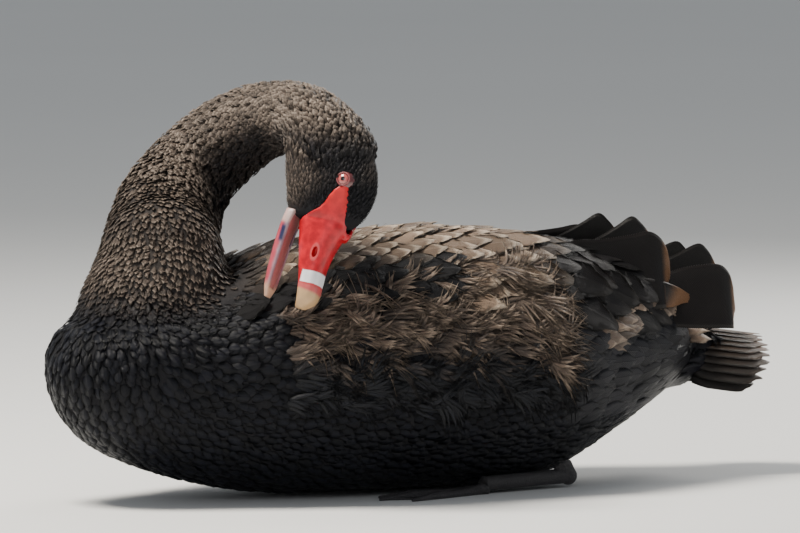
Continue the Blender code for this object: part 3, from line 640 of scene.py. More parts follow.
def neck_share(points: Array) -> Array:
    """How far points belong to the neck, from 0 on the body to 1."""
    index, ratio = NECK.nearest(points)
    return (1 - smoothstep(1.04, 1.35, ratio)) * smoothstep(0.6, 2.2, index / ROUTE_STEPS)


def stand_off(points: Array) -> Array:
    """How far the folded wings and the flank feathers stand off the body at points of its surface."""
    angle = body_angle(points)
    x = points[:, 0]
    share = np.clip(angle / WING_EDGE, 0.0, 1.0)
    wing = np.interp(x, *zip(*WING_STAND_OFF)) * (0.85 + 0.5 * np.sin(np.pi * share) - 0.45 * share)
    lower = np.clip((angle - WING_EDGE) / (FLANK_EDGE - WING_EDGE), 0.0, 1.0)
    flank = np.interp(x, *zip(*FLANK_STAND_OFF)) * (0.6 + 0.4 * np.sin(np.pi * lower))
    step = smoothstep(WING_EDGE - 6.0, WING_EDGE + 5.0, angle)
    flank = flank * (1 - smoothstep(FLANK_EDGE - 14.0, FLANK_EDGE, angle))
    forward, up, aside = head_lengths(points).T
    on_head = (forward > -0.070) & (forward < 0.040) & (np.abs(up + 0.015) < 0.048)
    on_head &= np.abs(aside) < 0.034
    clear = smoothstep(1.05, 1.45, NECK.nearest(points)[1]) * (points[:, 2] < 0.21) * ~on_head
    return (wing * (1 - step) + flank * step) * clear


def first_lie(points: Array, normals: Array) -> Array:
    """A first guess of the way feathers point: down the neck, over the breast and to the tail."""
    index, _ = NECK.nearest(points)
    on_neck = neck_share(points)[:, None]
    down = -NECK.tangents[index]
    front = smoothstep(-0.20, -0.29, points[:, 0])[:, None]
    back = np.array([1.0, 0.0, 0.0]) * (1 - 0.7 * front) + np.array([0.0, 0.0, -1.0]) * front
    at_head = smoothstep(-0.045, -0.010, head_lengths(points)[:, :1])
    at_head = at_head * (points[:, 2:] > 0.19) * (points[:, 1:2] < -0.06)
    ways = back * (1 - on_neck) + down * on_neck
    ways = ways * (1 - at_head) - np.array(BILL_WAY) * at_head
    ways -= normals * np.sum(ways * normals, 1, keepdims=True)
    return unit(ways)


@dataclass(frozen=True)
class VaneForm:
    """One kind of feather. Widths are shares of its width, heights are metres above the skin.

    Attributes:
        widths: Width at even stations from root to tip, as shares of the widest.
        lifts: Height of the shaft at the same stations.
        columns: Points across the upper face.
        droop: How far the edges hang below the shaft.
        thickness: Thickness along the shaft.
        rounding: How much shorter the edges are than the shaft.
        ragged: How unevenly the tip ends, as a share of the length.
    """

    widths: tuple[float, ...]
    lifts: tuple[float, ...]
    columns: int = 3
    droop: float = 0.0006
    thickness: float = 0.0005
    rounding: float = 0.25
    ragged: float = 0.0

    @property
    def stations(self) -> int:
        """How many stations the feather has."""
        return len(self.widths)


@dataclass
class Growth:
    """What one batch of feathers needs besides its form, one value for each feather.

    Attributes:
        widths: Widths in metres.
        rise: How high the feathers stand, as shares of the form's lifts.
        tint: How light they are, from 0 to 1.
        tone: How brown they are, from 0 to 1, with painted sunlight and shade in it on some of them.
        uv: Places of their roots on the skin's unwrap.
    """

    widths: Array
    rise: Array
    tint: Array
    tone: Array
    uv: Array


class Coat:
    """One piece of plumage: closed feathers of several kinds joined into a single mesh."""

    def __init__(self, name: str, slot: str, finish: bpy.types.Material) -> None:
        """Starts an empty piece.

        Args:
            name: The piece's name.
            slot: Not used.
            finish: The piece's material.
        """
        self.name, self.slot, self.finish = name, slot, finish
        self.parts: dict[str, list[Array]] = {}
        self.count = 0

    def _keep(self, **parts: Array) -> None:
        """Adds arrays to the lists of the same names."""
        for name, values in parts.items():
            self.parts.setdefault(name, []).append(values)

    def lay(self, trails: Trails, form: VaneForm, growth: Growth, rng: np.random.Generator) -> None:
        """Adds feathers of one form along their trails.

        Args:
            trails: The lines that the feathers follow.
            form: The feathers' form.
            growth: Their sizes, tints and tones.
            rng: The source of chance.
        """
        k, stations = trails.lines.shape[:2]
        s = np.linspace(-1.0, 1.0, form.columns)
        t = np.linspace(0.0, 1.0, stations)
        reach = 1 - form.rounding * s[None, :] ** 2 * t[:, None] ** 2
        uneven = 1 - form.ragged * rng.random((k, 1, form.columns)) * t[None, :, None] ** 3
        along = np.clip(t[None, :, None] * reach[None] * uneven, 0.0, 1.0) * (stations - 1)
        low = np.minimum(along.astype(int), stations - 2)
        part = (along - low)[..., None]
        rows = np.arange(k)[:, None, None]
        places = trails.lines[rows, low] * (1 - part) + trails.lines[rows, low + 1] * part
        widths = np.interp(t, np.linspace(0, 1, form.stations), form.widths)
        lifts = np.interp(t, np.linspace(0, 1, form.stations), form.lifts)
        half = growth.widths[:, None, None] * widths[None, :, None] * s[None, None, :] / 2
        height = lifts[None, :, None] * growth.rise[:, None, None] - form.droop * s[None, None, :] ** 2
        height = height + np.zeros_like(half)
        places = places + trails.sides[:, :, None, :] * half[..., None]
        thick = form.thickness * (1 - 0.75 * s**2)[None, None, :] * (1 - 0.6 * t)[None, :, None] / 2
        over = places + trails.ups[:, :, None, :] * (height + thick)[..., None]
        under = places + trails.ups[:, :, None, :] * (height - thick)[..., None]
        ring = np.concatenate([over, under[:, :, -2:0:-1, :]], 2)
        around = np.concatenate([s, s[-2:0:-1]])
        self.add(ring, around, t, growth)

    def add(self, ring: Array, around: Array, t: Array, growth: Growth) -> None:
        """Joins rings of points into closed feathers and keeps their maps.

        Args:
            ring: Places by feather, station and point round the station.
            around: Each point's place across the feather, from -1 to 1.
            t: Each station's place along the feather, from 0 to 1.
            growth: The feathers' tints, tones and places on the unwrap.
        """
        k, stations, size = ring.shape[:3]
        grid = np.arange(stations * size).reshape(stations, size)
        nxt = np.roll(grid, -1, axis=1)
        quads = np.stack([grid[:-1], nxt[:-1], nxt[1:], grid[1:]], -1).reshape(-1, 4)
        each = stations * size
        shift = (self.count + np.arange(k) * each)[:, None]
        template = np.concatenate([quads.ravel(), grid[0, ::-1], grid[-1]])
        totals = np.concatenate([np.full(len(quads), 4), [size, size]])
        local = np.stack(np.broadcast_arrays(around[None, :], t[:, None]), -1).reshape(1, each, 2)
        patch = (local * np.array([0.5, 1.0]) - np.array([0.0, 0.5])) * BAKE_PATCH
        self._keep(
            points=ring.reshape(-1, 3),
            corners=(template[None, :] + shift).ravel(),
            totals=np.tile(totals, k),
            bake_uv=(growth.uv[:, None, :] + patch).reshape(-1, 2),
            vane_uv=np.tile(local[0] * np.array([0.5, 1.0]) + np.array([0.5, 0.0]), (k, 1)),
            tints=np.repeat(growth.tint, each),
            tones=np.repeat(growth.tone, each),
        )
        self.count += k * each

    def finished(self) -> bpy.types.Object:
        """Turns the piece into one object and registers it with the frame."""
        mesh = bpy.data.meshes.new(self.name)
        parts = {name: np.concatenate(values) for name, values in self.parts.items()}
        points, corners, totals = parts["points"], parts["corners"].astype(np.int32), parts["totals"]
        mesh.vertices.add(len(points))
        mesh.vertices.foreach_set("co", points.astype(np.float32).ravel())
        mesh.loops.add(len(corners))
        mesh.loops.foreach_set("vertex_index", corners)
        mesh.polygons.add(len(totals))
        starts = np.concatenate([[0], np.cumsum(totals)[:-1]])
        mesh.polygons.foreach_set("loop_start", starts.astype(np.int32))
        mesh.polygons.foreach_set("use_smooth", np.ones(len(totals), bool))
        mesh.update(calc_edges=True)
        for name, part in ((BAKE_MAP, "bake_uv"), (VANE_MAP, "vane_uv")):
            layer = mesh.uv_layers.new(name=name)
            layer.data.foreach_set("uv", parts[part][corners].astype(np.float32).ravel())
        keep_numbers(mesh, "tint", parts["tints"])
        keep_numbers(mesh, "tone", parts["tones"])
        mesh.materials.append(self.finish)
        obj = new_object(self.name, mesh)
        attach(obj, "root")
        log.info("%s: %d faces", self.name, len(totals))
        return obj


class Signal:
    """A value in a shader, with Python's operators adding Math nodes."""

    def __init__(self, paint: "Paint", socket: bpy.types.NodeSocket) -> None:
        """Wraps an output socket of a paint's tree."""
        self.paint, self.socket = paint, socket

    def _math(self, operation: str, *values: "Signal | float") -> "Signal":
        """Adds one Math node."""
        return self.paint.node("ShaderNodeMath", {"operation": operation}, dict(enumerate(values)))

    def __add__(self, other: "Signal | float") -> "Signal":
        """Adds a value."""
        return self._math("ADD", self, other)

    __radd__ = __add__

    def __mul__(self, other: "Signal | float") -> "Signal":
        """Multiplies by a value."""
        return self._math("MULTIPLY", self, other)

    __rmul__ = __mul__

    def __sub__(self, other: "Signal | float") -> "Signal":
        """Takes a value away."""
        return self._math("SUBTRACT", self, other)

    def __rsub__(self, other: "Signal | float") -> "Signal":
        """Is taken away from a value."""
        return self._math("SUBTRACT", other, self)

    def __pow__(self, power: "Signal | float") -> "Signal":
        """Raises to a power."""
        return self._math("POWER", self, power)

    def size(self) -> "Signal":
        """The value without its sign."""
        return self._math("ABSOLUTE", self)

    def wave(self) -> "Signal":
        """The sine of the value."""
        return self._math("SINE", self)

    def rise(self, low: float, high: float) -> "Signal":
        """Rises smoothly from 0 at low to 1 at high, or falls where low is above high."""
        up = low < high
        ends = (low, high) if up else (high, low)
        settings = {"interpolation_type": "SMOOTHSTEP"}
        inputs = {"Value": self, "From Min": ends[0], "From Max": ends[1]}
        inputs |= {"To Min": 0.0 if up else 1.0, "To Max": 1.0 if up else 0.0}
        return self.paint.node("ShaderNodeMapRange", settings, inputs)


Colour = tuple[float, float, float]


class Paint:
    """A material with a Principled shader, and one way to add any other node."""

    def __init__(self, name: str, roughness: float = 0.5, specular: float = 0.5, **constants: float) -> None:
        """Starts a material.

        Args:
            name: The material's name.
            roughness: Roughness where nothing drives it.
            specular: Specular level.
            **constants: Other sockets of the shader by name, with underscores for spaces.
        """
        self.material = bpy.data.materials.new(name)
        self.material.use_nodes = True
        self.tree = self.material.node_tree
        self.shader = self.tree.nodes["Principled BSDF"]
        self.shader.inputs["Roughness"].default_value = roughness
        self.shader.inputs["Specular IOR Level"].default_value = specular
        for key, value in constants.items():
            self.shader.inputs[key.replace("_", " ")].default_value = value

    def node(
        self, kind: str, settings: dict | None = None, inputs: dict | None = None, out: int | str = 0
    ) -> Signal:
        """Adds a node.

        Args:
            kind: The node's type.
            settings: Its properties.
            inputs: Values or signals for its sockets, by name or number.
            out: The output that is used.

        Returns:
            The signal at that output.
        """
        made = self.tree.nodes.new(kind)
        for key, value in (settings or {}).items():
            setattr(made, key, value)
        for key, value in (inputs or {}).items():
            if isinstance(value, Signal):
                self.tree.links.new(value.socket, made.inputs[key])
            else:
                made.inputs[key].default_value = value
        return Signal(self, made.outputs[out])

    def mix(self, share: Signal | float, first: Signal | Colour, second: Signal | Colour) -> Signal:
        """Mixes two colours by a share."""
        ends = [(*c, 1.0) if isinstance(c, tuple) else c for c in (first, second)]
        settings = {"data_type": "RGBA"}
        return self.node("ShaderNodeMix", settings, {0: share, 6: ends[0], 7: ends[1]}, 2)

    def shade(self, colour: Signal, amount: Signal) -> Signal:
        """Multiplies a colour by a grey amount."""
        grey = self.node("ShaderNodeCombineColor", None, {0: amount, 1: amount, 2: amount})
        settings = {"data_type": "RGBA", "blend_type": "MULTIPLY"}
        return self.node("ShaderNodeMix", settings, {0: 1.0, 6: colour, 7: grey}, 2)

    def place(self) -> Signal:
        """The point's Object coordinates."""
        return self.node("ShaderNodeTexCoord", None, None, "Object")

    def noise(self, scale: float, detail: float = 3.0, at: Signal | None = None) -> Signal:
        """Noise of a scale per metre, from 0 to 1."""
        inputs = {"Vector": at or self.place(), "Scale": scale, "Detail": detail}
        return self.node("ShaderNodeTexNoise", None, inputs)

    def attribute(self, name: str) -> Signal:
        """A number kept at the mesh's points."""
        return self.node("ShaderNodeAttribute", {"attribute_name": name}, None, "Fac")

    def along(self, origin: Vector, way: Vector) -> Signal:
        """How far a point lies from an origin along a direction."""
        kind = "ShaderNodeVectorMath"
        spot = self.node(kind, {"operation": "SUBTRACT"}, {0: self.place(), 1: tuple(origin)})
        return self.node(kind, {"operation": "DOT_PRODUCT"}, {0: spot, 1: tuple(way)}, 1)

    def head_lengths(self) -> tuple[Signal, Signal, Signal]:
        """A point's lengths along the bill, to the crown and to the right of the head's middle."""
        forward, up, right = (self.along(HEAD_ORIGIN, axis) for axis in head_axes())
        return forward, up, right

    def feed(self, socket: str, value: Signal) -> None:
        """Links a signal to a socket of the shader."""
        self.tree.links.new(value.socket, self.shader.inputs[socket])

    def bump(self, height: Signal, distance: float, strength: float = 1.0) -> None:
        """Feeds the shader's normal with a bump of the given depth in metres."""
        inputs = {"Height": height, "Distance": distance, "Strength": strength}
        self.feed("Normal", self.node("ShaderNodeBump", None, inputs))


@dataclass(frozen=True)
class FeatherFinish:
    """How one kind of plumage looks.

    Attributes:
        name: The material's name.
        dark: Colour where the tone is 0.
        warm: Colour where the tone is 1.
        edge: Colour of the worn rim of each feather.
        edge_share: How strongly the rim shows.
        edge_from: Where along the feather the rim starts.
        barbs: How strongly the barbs show in the colour.
        barb_count: Barbs along one feather.
        roughness: Mean roughness.
        specular: Specular level.
        root_shade: How much painted shade darkens the root, where it lies under the feather above, from 0 to
            1.
    """

    name: str
    dark: Colour
    warm: Colour
    edge: Colour
    edge_share: float = 0.5
    edge_from: float = 0.8
    barbs: float = 0.2
    barb_count: float = 40.0
    roughness: float = 0.55
    specular: float = 0.4
    root_shade: float = 0.5

    def build(self) -> bpy.types.Material:
        """Makes the material.

        Returns:
            A material that reads the Vane map and the tint and tone of each feather.
        """
        paint = Paint(self.name, self.roughness, self.specular)
        vane = paint.node("ShaderNodeUVMap", {"uv_map": VANE_MAP})
        across = paint.node("ShaderNodeSeparateXYZ", None, {0: vane}, 0)
        along = paint.node("ShaderNodeSeparateXYZ", None, {0: vane}, 1)
        off_shaft = (across - 0.5).size() * 2.0
        tint, tone = paint.attribute("tint"), paint.attribute("tone")
        patches = paint.noise(38.0, 4.0)
        grain = paint.noise(900.0, 2.0)
        base = paint.mix(tone, self.dark, self.warm)
        reach = along + off_shaft * off_shaft * 0.16 + grain * 0.06
        rim = reach.rise(self.edge_from, self.edge_from + 0.16)
        base = paint.mix(rim * tone * self.edge_share, base, self.edge)
        lines = ((along * self.barb_count + off_shaft * self.barb_count * 0.35) * math.tau).wave()
        shaft = off_shaft.rise(0.10, 0.02)
        light = 1.0 + lines * self.barbs * 0.5 + shaft * 0.25 * self.barbs
        light = light * (tint * 0.7 + 0.65) * (patches * 0.6 + 0.7) * (grain * 0.5 + 0.75)
        # Painted shade darkens the root, where each feather lies under the one above.
        light = light * (1.0 - along.rise(0.55, 0.0) * self.root_shade)
        paint.feed("Base Color", paint.shade(base, light))
        paint.feed("Roughness", patches * 0.2 + (self.roughness - 0.1))
        paint.bump(lines * 0.5 + shaft * 1.2 + grain * 0.6, 0.00018)
        return paint.material


@dataclass(frozen=True)
class Studio:
    """The plain floor, soft lights and the camera of the photograph's view.

    Attributes:
        azimuth: The camera's turn round the bird, in degrees.
        elevation: The camera's angle above level, in degrees.
        distance: From the camera to what it aims at, in metres.
        frame_width: Width of the view at that distance, in metres.
        aim: What the camera aims at.
        light_aim: What the lamps aim at.
        air: Strength of the light from all round.
        lamps: Name, place, size, power and colour of each lamp.
    """

    azimuth: float = -33.0
    elevation: float = 4.0
    distance: float = 8.0
    frame_width: float = 0.576
    aim: Vector = field(default_factory=lambda: Vector((-0.0060, 0.0171, 0.1583)))
    light_aim: tuple[float, float, float] = (0.0, 0.0, 0.12)
    air: float = 0.45
    lamps: tuple[tuple, ...] = (
        ("key", (-0.9, 0.2, 1.9), 0.7, 88.0, (1.0, 0.94, 0.84)),
        ("fill", (-1.6, -2.2, 0.9), 1.6, 12.0, (0.95, 0.97, 1.0)),
        ("rim", (1.6, 0.9, 1.2), 0.8, 22.0, (1.0, 0.97, 0.92)),
    )

    def build(self) -> None:
        """Builds the floor, lights, world and camera."""
        self._floor()
        self._lights()
        self._camera()

    def _floor(self) -> None:
        """A flat pale floor."""
        bm = bmesh.new()
        bmesh.ops.create_grid(bm, x_segments=2, y_segments=2, size=12.0)
        floor = object_from("studio_floor", bm)
        paint = Paint("pale_floor", roughness=0.9, specular=0.2)
        colour = paint.mix(paint.noise(0.6), (0.72, 0.72, 0.71), (0.78, 0.78, 0.77))
        paint.feed("Base Color", colour)
        floor.data.materials.append(paint.material)

    def _lights(self) -> None:
        """A warm key high behind the left, a soft fill in front and a rim light at the right."""
        world = bpy.data.worlds.new("studio_air")
        world.use_nodes = True
        sky = world.node_tree.nodes["Background"].inputs
        sky[0].default_value = (0.80, 0.84, 0.88, 1.0)
        sky[1].default_value = self.air
        bpy.context.scene.world = world
        for name, place, size, power, colour in self.lamps:
            lamp = bpy.data.lights.new(name, "AREA")
            lamp.size, lamp.energy, lamp.color = size, power, colour
            obj = bpy.data.objects.new("light_" + name, lamp)
            obj.location = place
            aim = Vector(self.light_aim) - Vector(place)
            obj.rotation_euler = aim.to_track_quat("-Z", "Y").to_euler()
            bpy.context.scene.collection.objects.link(obj)

    def _camera(self) -> None:
        """A long lens at the photograph's angle."""
        turn, climb = math.radians(self.azimuth), math.radians(self.elevation)
        level = math.cos(climb)
        forward = Vector((-math.sin(turn) * level, math.cos(turn) * level, -math.sin(climb)))
        lens = bpy.data.cameras.new("camera")
        lens.lens = lens.sensor_width * self.distance / self.frame_width
        lens.clip_end = 100.0
        camera = bpy.data.objects.new("camera", lens)
        camera.location = self.aim - forward * self.distance
        camera.rotation_euler = forward.to_track_quat("-Z", "Y").to_euler()
        bpy.context.scene.collection.objects.link(camera)
        bpy.context.scene.camera = camera


NECK_FINISH = FeatherFinish(
    "neck_plumage", (0.006, 0.006, 0.009), (0.085, 0.064, 0.051), (0.300, 0.240, 0.195),
    edge_share=0.7, edge_from=0.66, barbs=0.35, barb_count=9, roughness=0.5, specular=0.22,
)
HEAD_FINISH = FeatherFinish(
    "head_plumage", (0.005, 0.005, 0.008), (0.095, 0.073, 0.061), (0.230, 0.185, 0.155),
    edge_share=0.6, edge_from=0.55, barbs=0.2, barb_count=4, roughness=0.5, specular=0.22,
)
BODY_FINISH = FeatherFinish(
    "body_plumage", (0.0030, 0.0036, 0.0070), (0.050, 0.039, 0.032), (0.120, 0.096, 0.080),
    barbs=0.35, barb_count=14, roughness=0.44, specular=0.20,
)
BACK_FINISH = FeatherFinish(
    "back_plumage", (0.0050, 0.0046, 0.0056), (0.150, 0.104, 0.073), (0.520, 0.415, 0.315),
    edge_share=0.95, edge_from=0.82, barbs=0.6, barb_count=46, roughness=0.55, specular=0.20,
)


ARCH_FORM = VaneForm(
    (0.55, 0.95, 1.0, 0.92, 0.60), (-0.0006, 0.0006, 0.0016, 0.0026, 0.0024), ragged=0.12
)
RING_FORM = VaneForm((0.6, 0.95, 1.0, 0.9, 0.55), (-0.0008, 0.0001, 0.0007, 0.0014, 0.0017), ragged=0.25)
HEAD_FORM = VaneForm(
    (0.6, 1.0, 0.85, 0.3), (-0.0003, 0.0003, 0.0008, 0.0010), droop=0.0003, thickness=0.00035
)
BODY_FORM = VaneForm(
    (0.5, 0.9, 1.0, 0.85, 0.40), (-0.0008, 0.0003, 0.0009, 0.0012, 0.0008), droop=0.0004, ragged=0.15
)
WING_FORM = VaneForm(
    (0.45, 0.80, 0.97, 1.0, 0.95, 0.82, 0.55),
    (-0.0010, 0.0002, 0.0012, 0.0022, 0.0032, 0.0042, 0.0048),
    columns=7, droop=0.0016, thickness=0.0006, rounding=0.30, ragged=0.06,
)


@dataclass
class Plumage:
    """All the feathers that lie on the skin, one piece for each part of the bird.

    Attributes:
        hide: The skin that they grow on.
        seed: Start of the source of chance.
        neck_stretches: Name, start, end, spacing, form and unevenness of each stretch of neck.
        head_sizes: Spacing, length and width of the head's feathers.
        body_sizes: Spacing, length and width of the body's feathers.
        wing_rows: Where the wing's first row lies along the body, and where the rows end.
        row_gaps: The distance between the first two rows, and how much more it is at the end.
    """

    hide: Hide
    seed: int = 7
    neck_stretches: tuple[tuple, ...] = (
        ("lower", 0.050, 0.152, 0.0034, RING_FORM, 0.18),
        ("upper", 0.150, 0.375, 0.0038, ARCH_FORM, 0.42),
    )
    head_sizes: tuple[float, float, float] = (0.0019, 0.0050, 0.0028)
    body_sizes: tuple[float, float, float] = (0.0050, 0.0160, 0.0082)
    wing_rows: tuple[float, float] = (-0.200, 0.135)
    row_gaps: tuple[float, float] = (0.0085, 0.011)

    def __post_init__(self) -> None:
        """Starts the seeded source of chance."""
        self.rng = np.random.default_rng(self.seed)

    def growth(self, faces: Array, width: Array, tone: Array) -> Growth:
        """Sizes, tints and tones for feathers rooted over the given faces."""
        count = len(faces)
        rise = self.rng.uniform(0.7, 1.35, count)
        return Growth(width, rise, self.rng.random(count), tone, self.hide.face_uv[faces])

    def rows_round_neck(
        self, first: float, last: float, spacing: float, jitter: float
    ) -> tuple[Array, Array]:
        """Roots in staggered rings round the neck.

        Args:
            first: Length along the neck where the rings start.
            last: Where they end.
            spacing: The distance between rings, which is a fifth less near the head.
            jitter: How far roots stray, as a share of the spacing.

        Returns:
            The roots and the face under each.
        """
        origins, ways, radii = [], [], []
        place, odd = first, 0
        while place < last:
            gap = spacing * (1.0 if place < 0.30 else 0.8)
            centre = np.array([np.interp(place, NECK.arc, column) for column in NECK.points.T])
            tangent = unit(np.array([np.interp(place, NECK.arc, column) for column in NECK.tangents.T]))
            radius = float(np.interp(place, NECK.arc, NECK.radii))
            side = unit(np.cross(tangent, [0.31, 0.95, 0.05]))
            other = np.cross(tangent, side)
            count = max(int(math.tau * radius / gap), 8)
            steps = np.arange(count) + 0.5 * odd
            turns = (steps + self.rng.uniform(-jitter, jitter, count)) * math.tau / count
            shift = self.rng.uniform(-jitter, jitter, count)[:, None] * gap * tangent
            spokes = np.cos(turns)[:, None] * side + np.sin(turns)[:, None] * other
            origins.append(centre + shift)
            ways.append(spokes)
            radii.append(np.full(count, radius))
            place += gap
            odd = 1 - odd
        origin, way, radius = np.concatenate(origins), np.concatenate(ways), np.concatenate(radii)
        kept, places, faces = self.hide.cast(origin, way)
        reach = np.linalg.norm(places - origin[kept], axis=1)
        right = (reach < radius[kept] * 1.35) & (neck_share(places) > 0.25)
        return places[right], faces[right]

    def neck(self) -> None:
        """Knobbly feathers round the arch, and close rings pressed together over the bulge below."""
        finish = NECK_FINISH.build()
        for name, start, end, gap, form, stray in self.neck_stretches:
            coat = Coat("coat_neck_" + name, "neck_feathers", finish)
            roots, faces = self.rows_round_neck(start, end, gap, stray)
            count = len(roots)
            size = self.rng.uniform(0.75, 1.25, count)
            index, _ = NECK.nearest(roots)
            outward = unit(roots - NECK.points[index])
            inner = smoothstep(0.0, 0.7, outward @ unit(np.array([0.65, 0.15, -0.75])))
            reach = gap * (2.6 + 1.6 * inner * (roots[:, 2] > 0.16)) * size
            trails = self.hide.trails(roots, faces, reach, 4, self.rng.normal(0, 0.22, count))
            growth = self.growth(faces, gap * 1.30 * size, tone_and_painted_light_at(roots))
            growth.rise = growth.rise * (1 + 0.9 * inner)
            coat.lay(trails, form, growth, self.rng)
            coat.finished()

    def head(self) -> None:
        """Very small feathers over the head."""
        hide = self.hide
        forward, up, _ = head_lengths(hide.face_points).T
        on_head = (forward > -0.052) & (forward < 0.0335) & (np.abs(up + 0.014) < 0.05)
        on_head &= (hide.face_points[:, 2] > 0.185) & (hide.face_points[:, 1] < -0.055)
        spacing, length, width = self.head_sizes
        roots, faces = hide.scatter(on_head, spacing, self.rng)
        clear = ~bare_face(roots) & (hide.face_normals[faces] @ np.array(BILL_WAY) < 0.45)
        roots, faces = roots[clear], faces[clear]
        count = len(roots)
        size = self.rng.uniform(0.8, 1.2, count)
        trails = hide.trails(roots, faces, length * size, 3, self.rng.normal(0, 0.15, count))
        coat = Coat("coat_head", "head_feathers", HEAD_FINISH.build())
        coat.lay(trails, HEAD_FORM, self.growth(faces, width * size, tone_and_painted_light_at(roots)), self.rng)
        coat.finished()

    def body(self) -> None:
        """Close feathers over the breast, belly and rump, outside the wings."""
        hide = self.hide
        points = hide.face_points
        open_body = neck_share(points) < 0.80
        open_body &= ~((body_angle(points) < 56) & (points[:, 0] > -0.120) & (points[:, 0] < 0.17))
        forward = head_lengths(points)[:, 0]
        open_body &= ~((forward > -0.06) & (forward < 0.05) & (points[:, 2] > 0.19))
        finish = BODY_FINISH.build()
        spacing, length, width = self.body_sizes
        for name, part in (("breast", points[:, 0] < -0.13), ("belly", points[:, 0] >= -0.13)):
            roots, faces = hide.scatter(open_body & part, spacing, self.rng)
            count = len(roots)
            size = self.rng.uniform(0.85, 1.2, count)
            trails = hide.trails(roots, faces, length * size, 4, self.rng.normal(0, 0.14, count))
            coat = Coat("coat_" + name, "black_feathers", finish)
            coat.lay(trails, BODY_FORM, self.growth(faces, width * size, tone_and_painted_light_at(roots)), self.rng)
            coat.finished()

    def back(self) -> None:
        """Scapulars and coverts in rows over the folded wings."""
        finish = BACK_FINISH.build()
        for side in Side:
            coat = Coat("coat_wing_" + side.word, "wing_feathers", finish)
            for row, x in enumerate(self._row_places()):
                grow = (x + 0.185) / 0.30
                length, width = 0.028 + 0.036 * grow, 0.018 + 0.018 * grow
                self._wing_row(coat, side, x, length, width, row % 2)
            coat.finished()

    def _row_places(self) -> list[float]:
        """Where the wing's rows start along the body, further apart towards the tail."""
        places, x = [], self.wing_rows[0]
        while x < self.wing_rows[1]:
            places.append(x)
            x += self.row_gaps[0] + self.row_gaps[1] * (x + 0.2) / 0.33
        return places

    def _wing_row(self, coat: Coat, side: Side, x: float, length: float, width: float, odd: int) -> None:
        """Adds one row across the wing on one side.

        Args:
            coat: The piece that the feathers join.
            side: The bird's side.
            x: Where the row lies along the body.
            length: The feathers' length.
            width: Their width.
            odd: 1 for a row that is set half a feather over.
        """
        step = math.degrees(width * 0.56 / 0.095)
        angles = np.radians(np.arange(2.0 + step * 0.5 * odd, WING_EDGE - 2.0, step))
        angles += self.rng.normal(0, 0.02, len(angles))
        xs = x + self.rng.normal(0, 0.0022, len(angles))
        kept, places, faces = self.hide.cast_out(xs, angles, side)
        free = neck_share(places) < 0.3
        places, faces, angles = places[free], faces[free], angles[kept][free]
        if not len(places):
            return
        count = len(places)
        size = self.rng.uniform(0.9, 1.1, count)
        share = np.degrees(angles) / WING_EDGE
        turn = -side.value * (0.10 + 0.30 * share * smoothstep(-0.20, 0.05, places[:, 0]))
        turn = turn + self.rng.normal(0, 0.07, count)
        trails = self.hide.trails(places, faces, length * size, 6, turn)
        coat.lay(trails, WING_FORM, self.growth(faces, width * size, tone_and_painted_light_at(places)), self.rng)


# Edges of the bare skin in front of the eye: length along the head, lower edge and upper edge.
LORES_OUTLINE = (
    (0.0000, 0.0030, 0.0052),
    (0.0030, 0.0008, 0.0066),
    (0.0070, -0.0028, 0.0078),
    (0.0120, -0.0055, 0.0085),
    (0.0180, -0.0078, 0.0088),
    (0.0220, -0.0108, 0.0088),
    (0.0260, -0.0160, 0.0088),
    (0.0300, -0.0212, 0.0090),
    (0.0345, -0.0245, 0.0092),
)


def lores_edges(forward: Array) -> tuple[Array, Array]:
    """The lower and upper edges of the bare skin at lengths along the head."""
    forwards, lows, highs = np.array(LORES_OUTLINE).T
    return np.interp(forward, forwards, lows), np.interp(forward, forwards, highs)


def bare_face(points: Array) -> Array:
    """Which points of the head are bare: inside the lids, under the lores and behind the bill."""
    forward, up, aside = head_lengths(points).T
    eye = np.hypot(forward - EYE_AT[0], up - EYE_AT[1]) < EYE_OPENING + 0.0008
    low, high = lores_edges(forward)
    lores = (forward > 0.0015) & (up > low + 0.0012) & (up < high - 0.0012) & (np.abs(aside) > 0.006)
    return eye | lores


def neck_tone_and_painted_light(z: Array, lit: Array, front: Array) -> Array:
    """How brown the neck looks, which is painted sunlight: on the outside of the arch where it faces up and
    forward, and on the front of the bulge above the breast.

    Args:
        z: Heights above the floor.
        lit: How far the surface faces the painted sunlight, up and forward.
        front: How far it faces the left and forward, where the bulge is painted as sunlit.

    Returns:
        Tones from 0 to 1.
    """
    # Painted sunlight: the front of the bulge and the upper outside of the arch are made brown where they
    # face the light.
    bulge = (1 - smoothstep(0.185, 0.215, z)) * smoothstep(0.130, 0.172, z) * smoothstep(-0.5, 0.5, front)
    arch = smoothstep(0.175, 0.215, z) * smoothstep(-0.35, 0.80, lit)
    return np.clip(0.10 * smoothstep(0.14, 0.18, z) + 0.85 * np.maximum(bulge, arch), 0.0, 1.0)


def head_tone_and_painted_light(forward: Array, up: Array, lit: Array) -> Array:
    """How brown the head is, as painted light: painted sunlight on the nape, strongest where it faces up and
    forward, a painted rim light along the crown, and black on the face.

    Args:
        forward: Lengths along the bill from between the eyes.
        up: Lengths to the crown.
        lit: How far the surface faces the painted sunlight, up and forward.

    Returns:
        Tones from 0 to 1.
    """
    # Painted sunlight on the nape, strongest where it faces up and forward.
    nape = 1 - smoothstep(-0.040, -0.014, forward + 0.18 * up)
    nape = nape * (0.25 + 0.75 * smoothstep(-0.35, 0.60, lit))
    # Painted rim light along the crown.
    rim = smoothstep(0.008, 0.020, up) * (1 - smoothstep(0.0, 0.03, forward))
    return np.clip(0.04 + 0.92 * nape + 0.5 * rim, 0.0, 1.0)


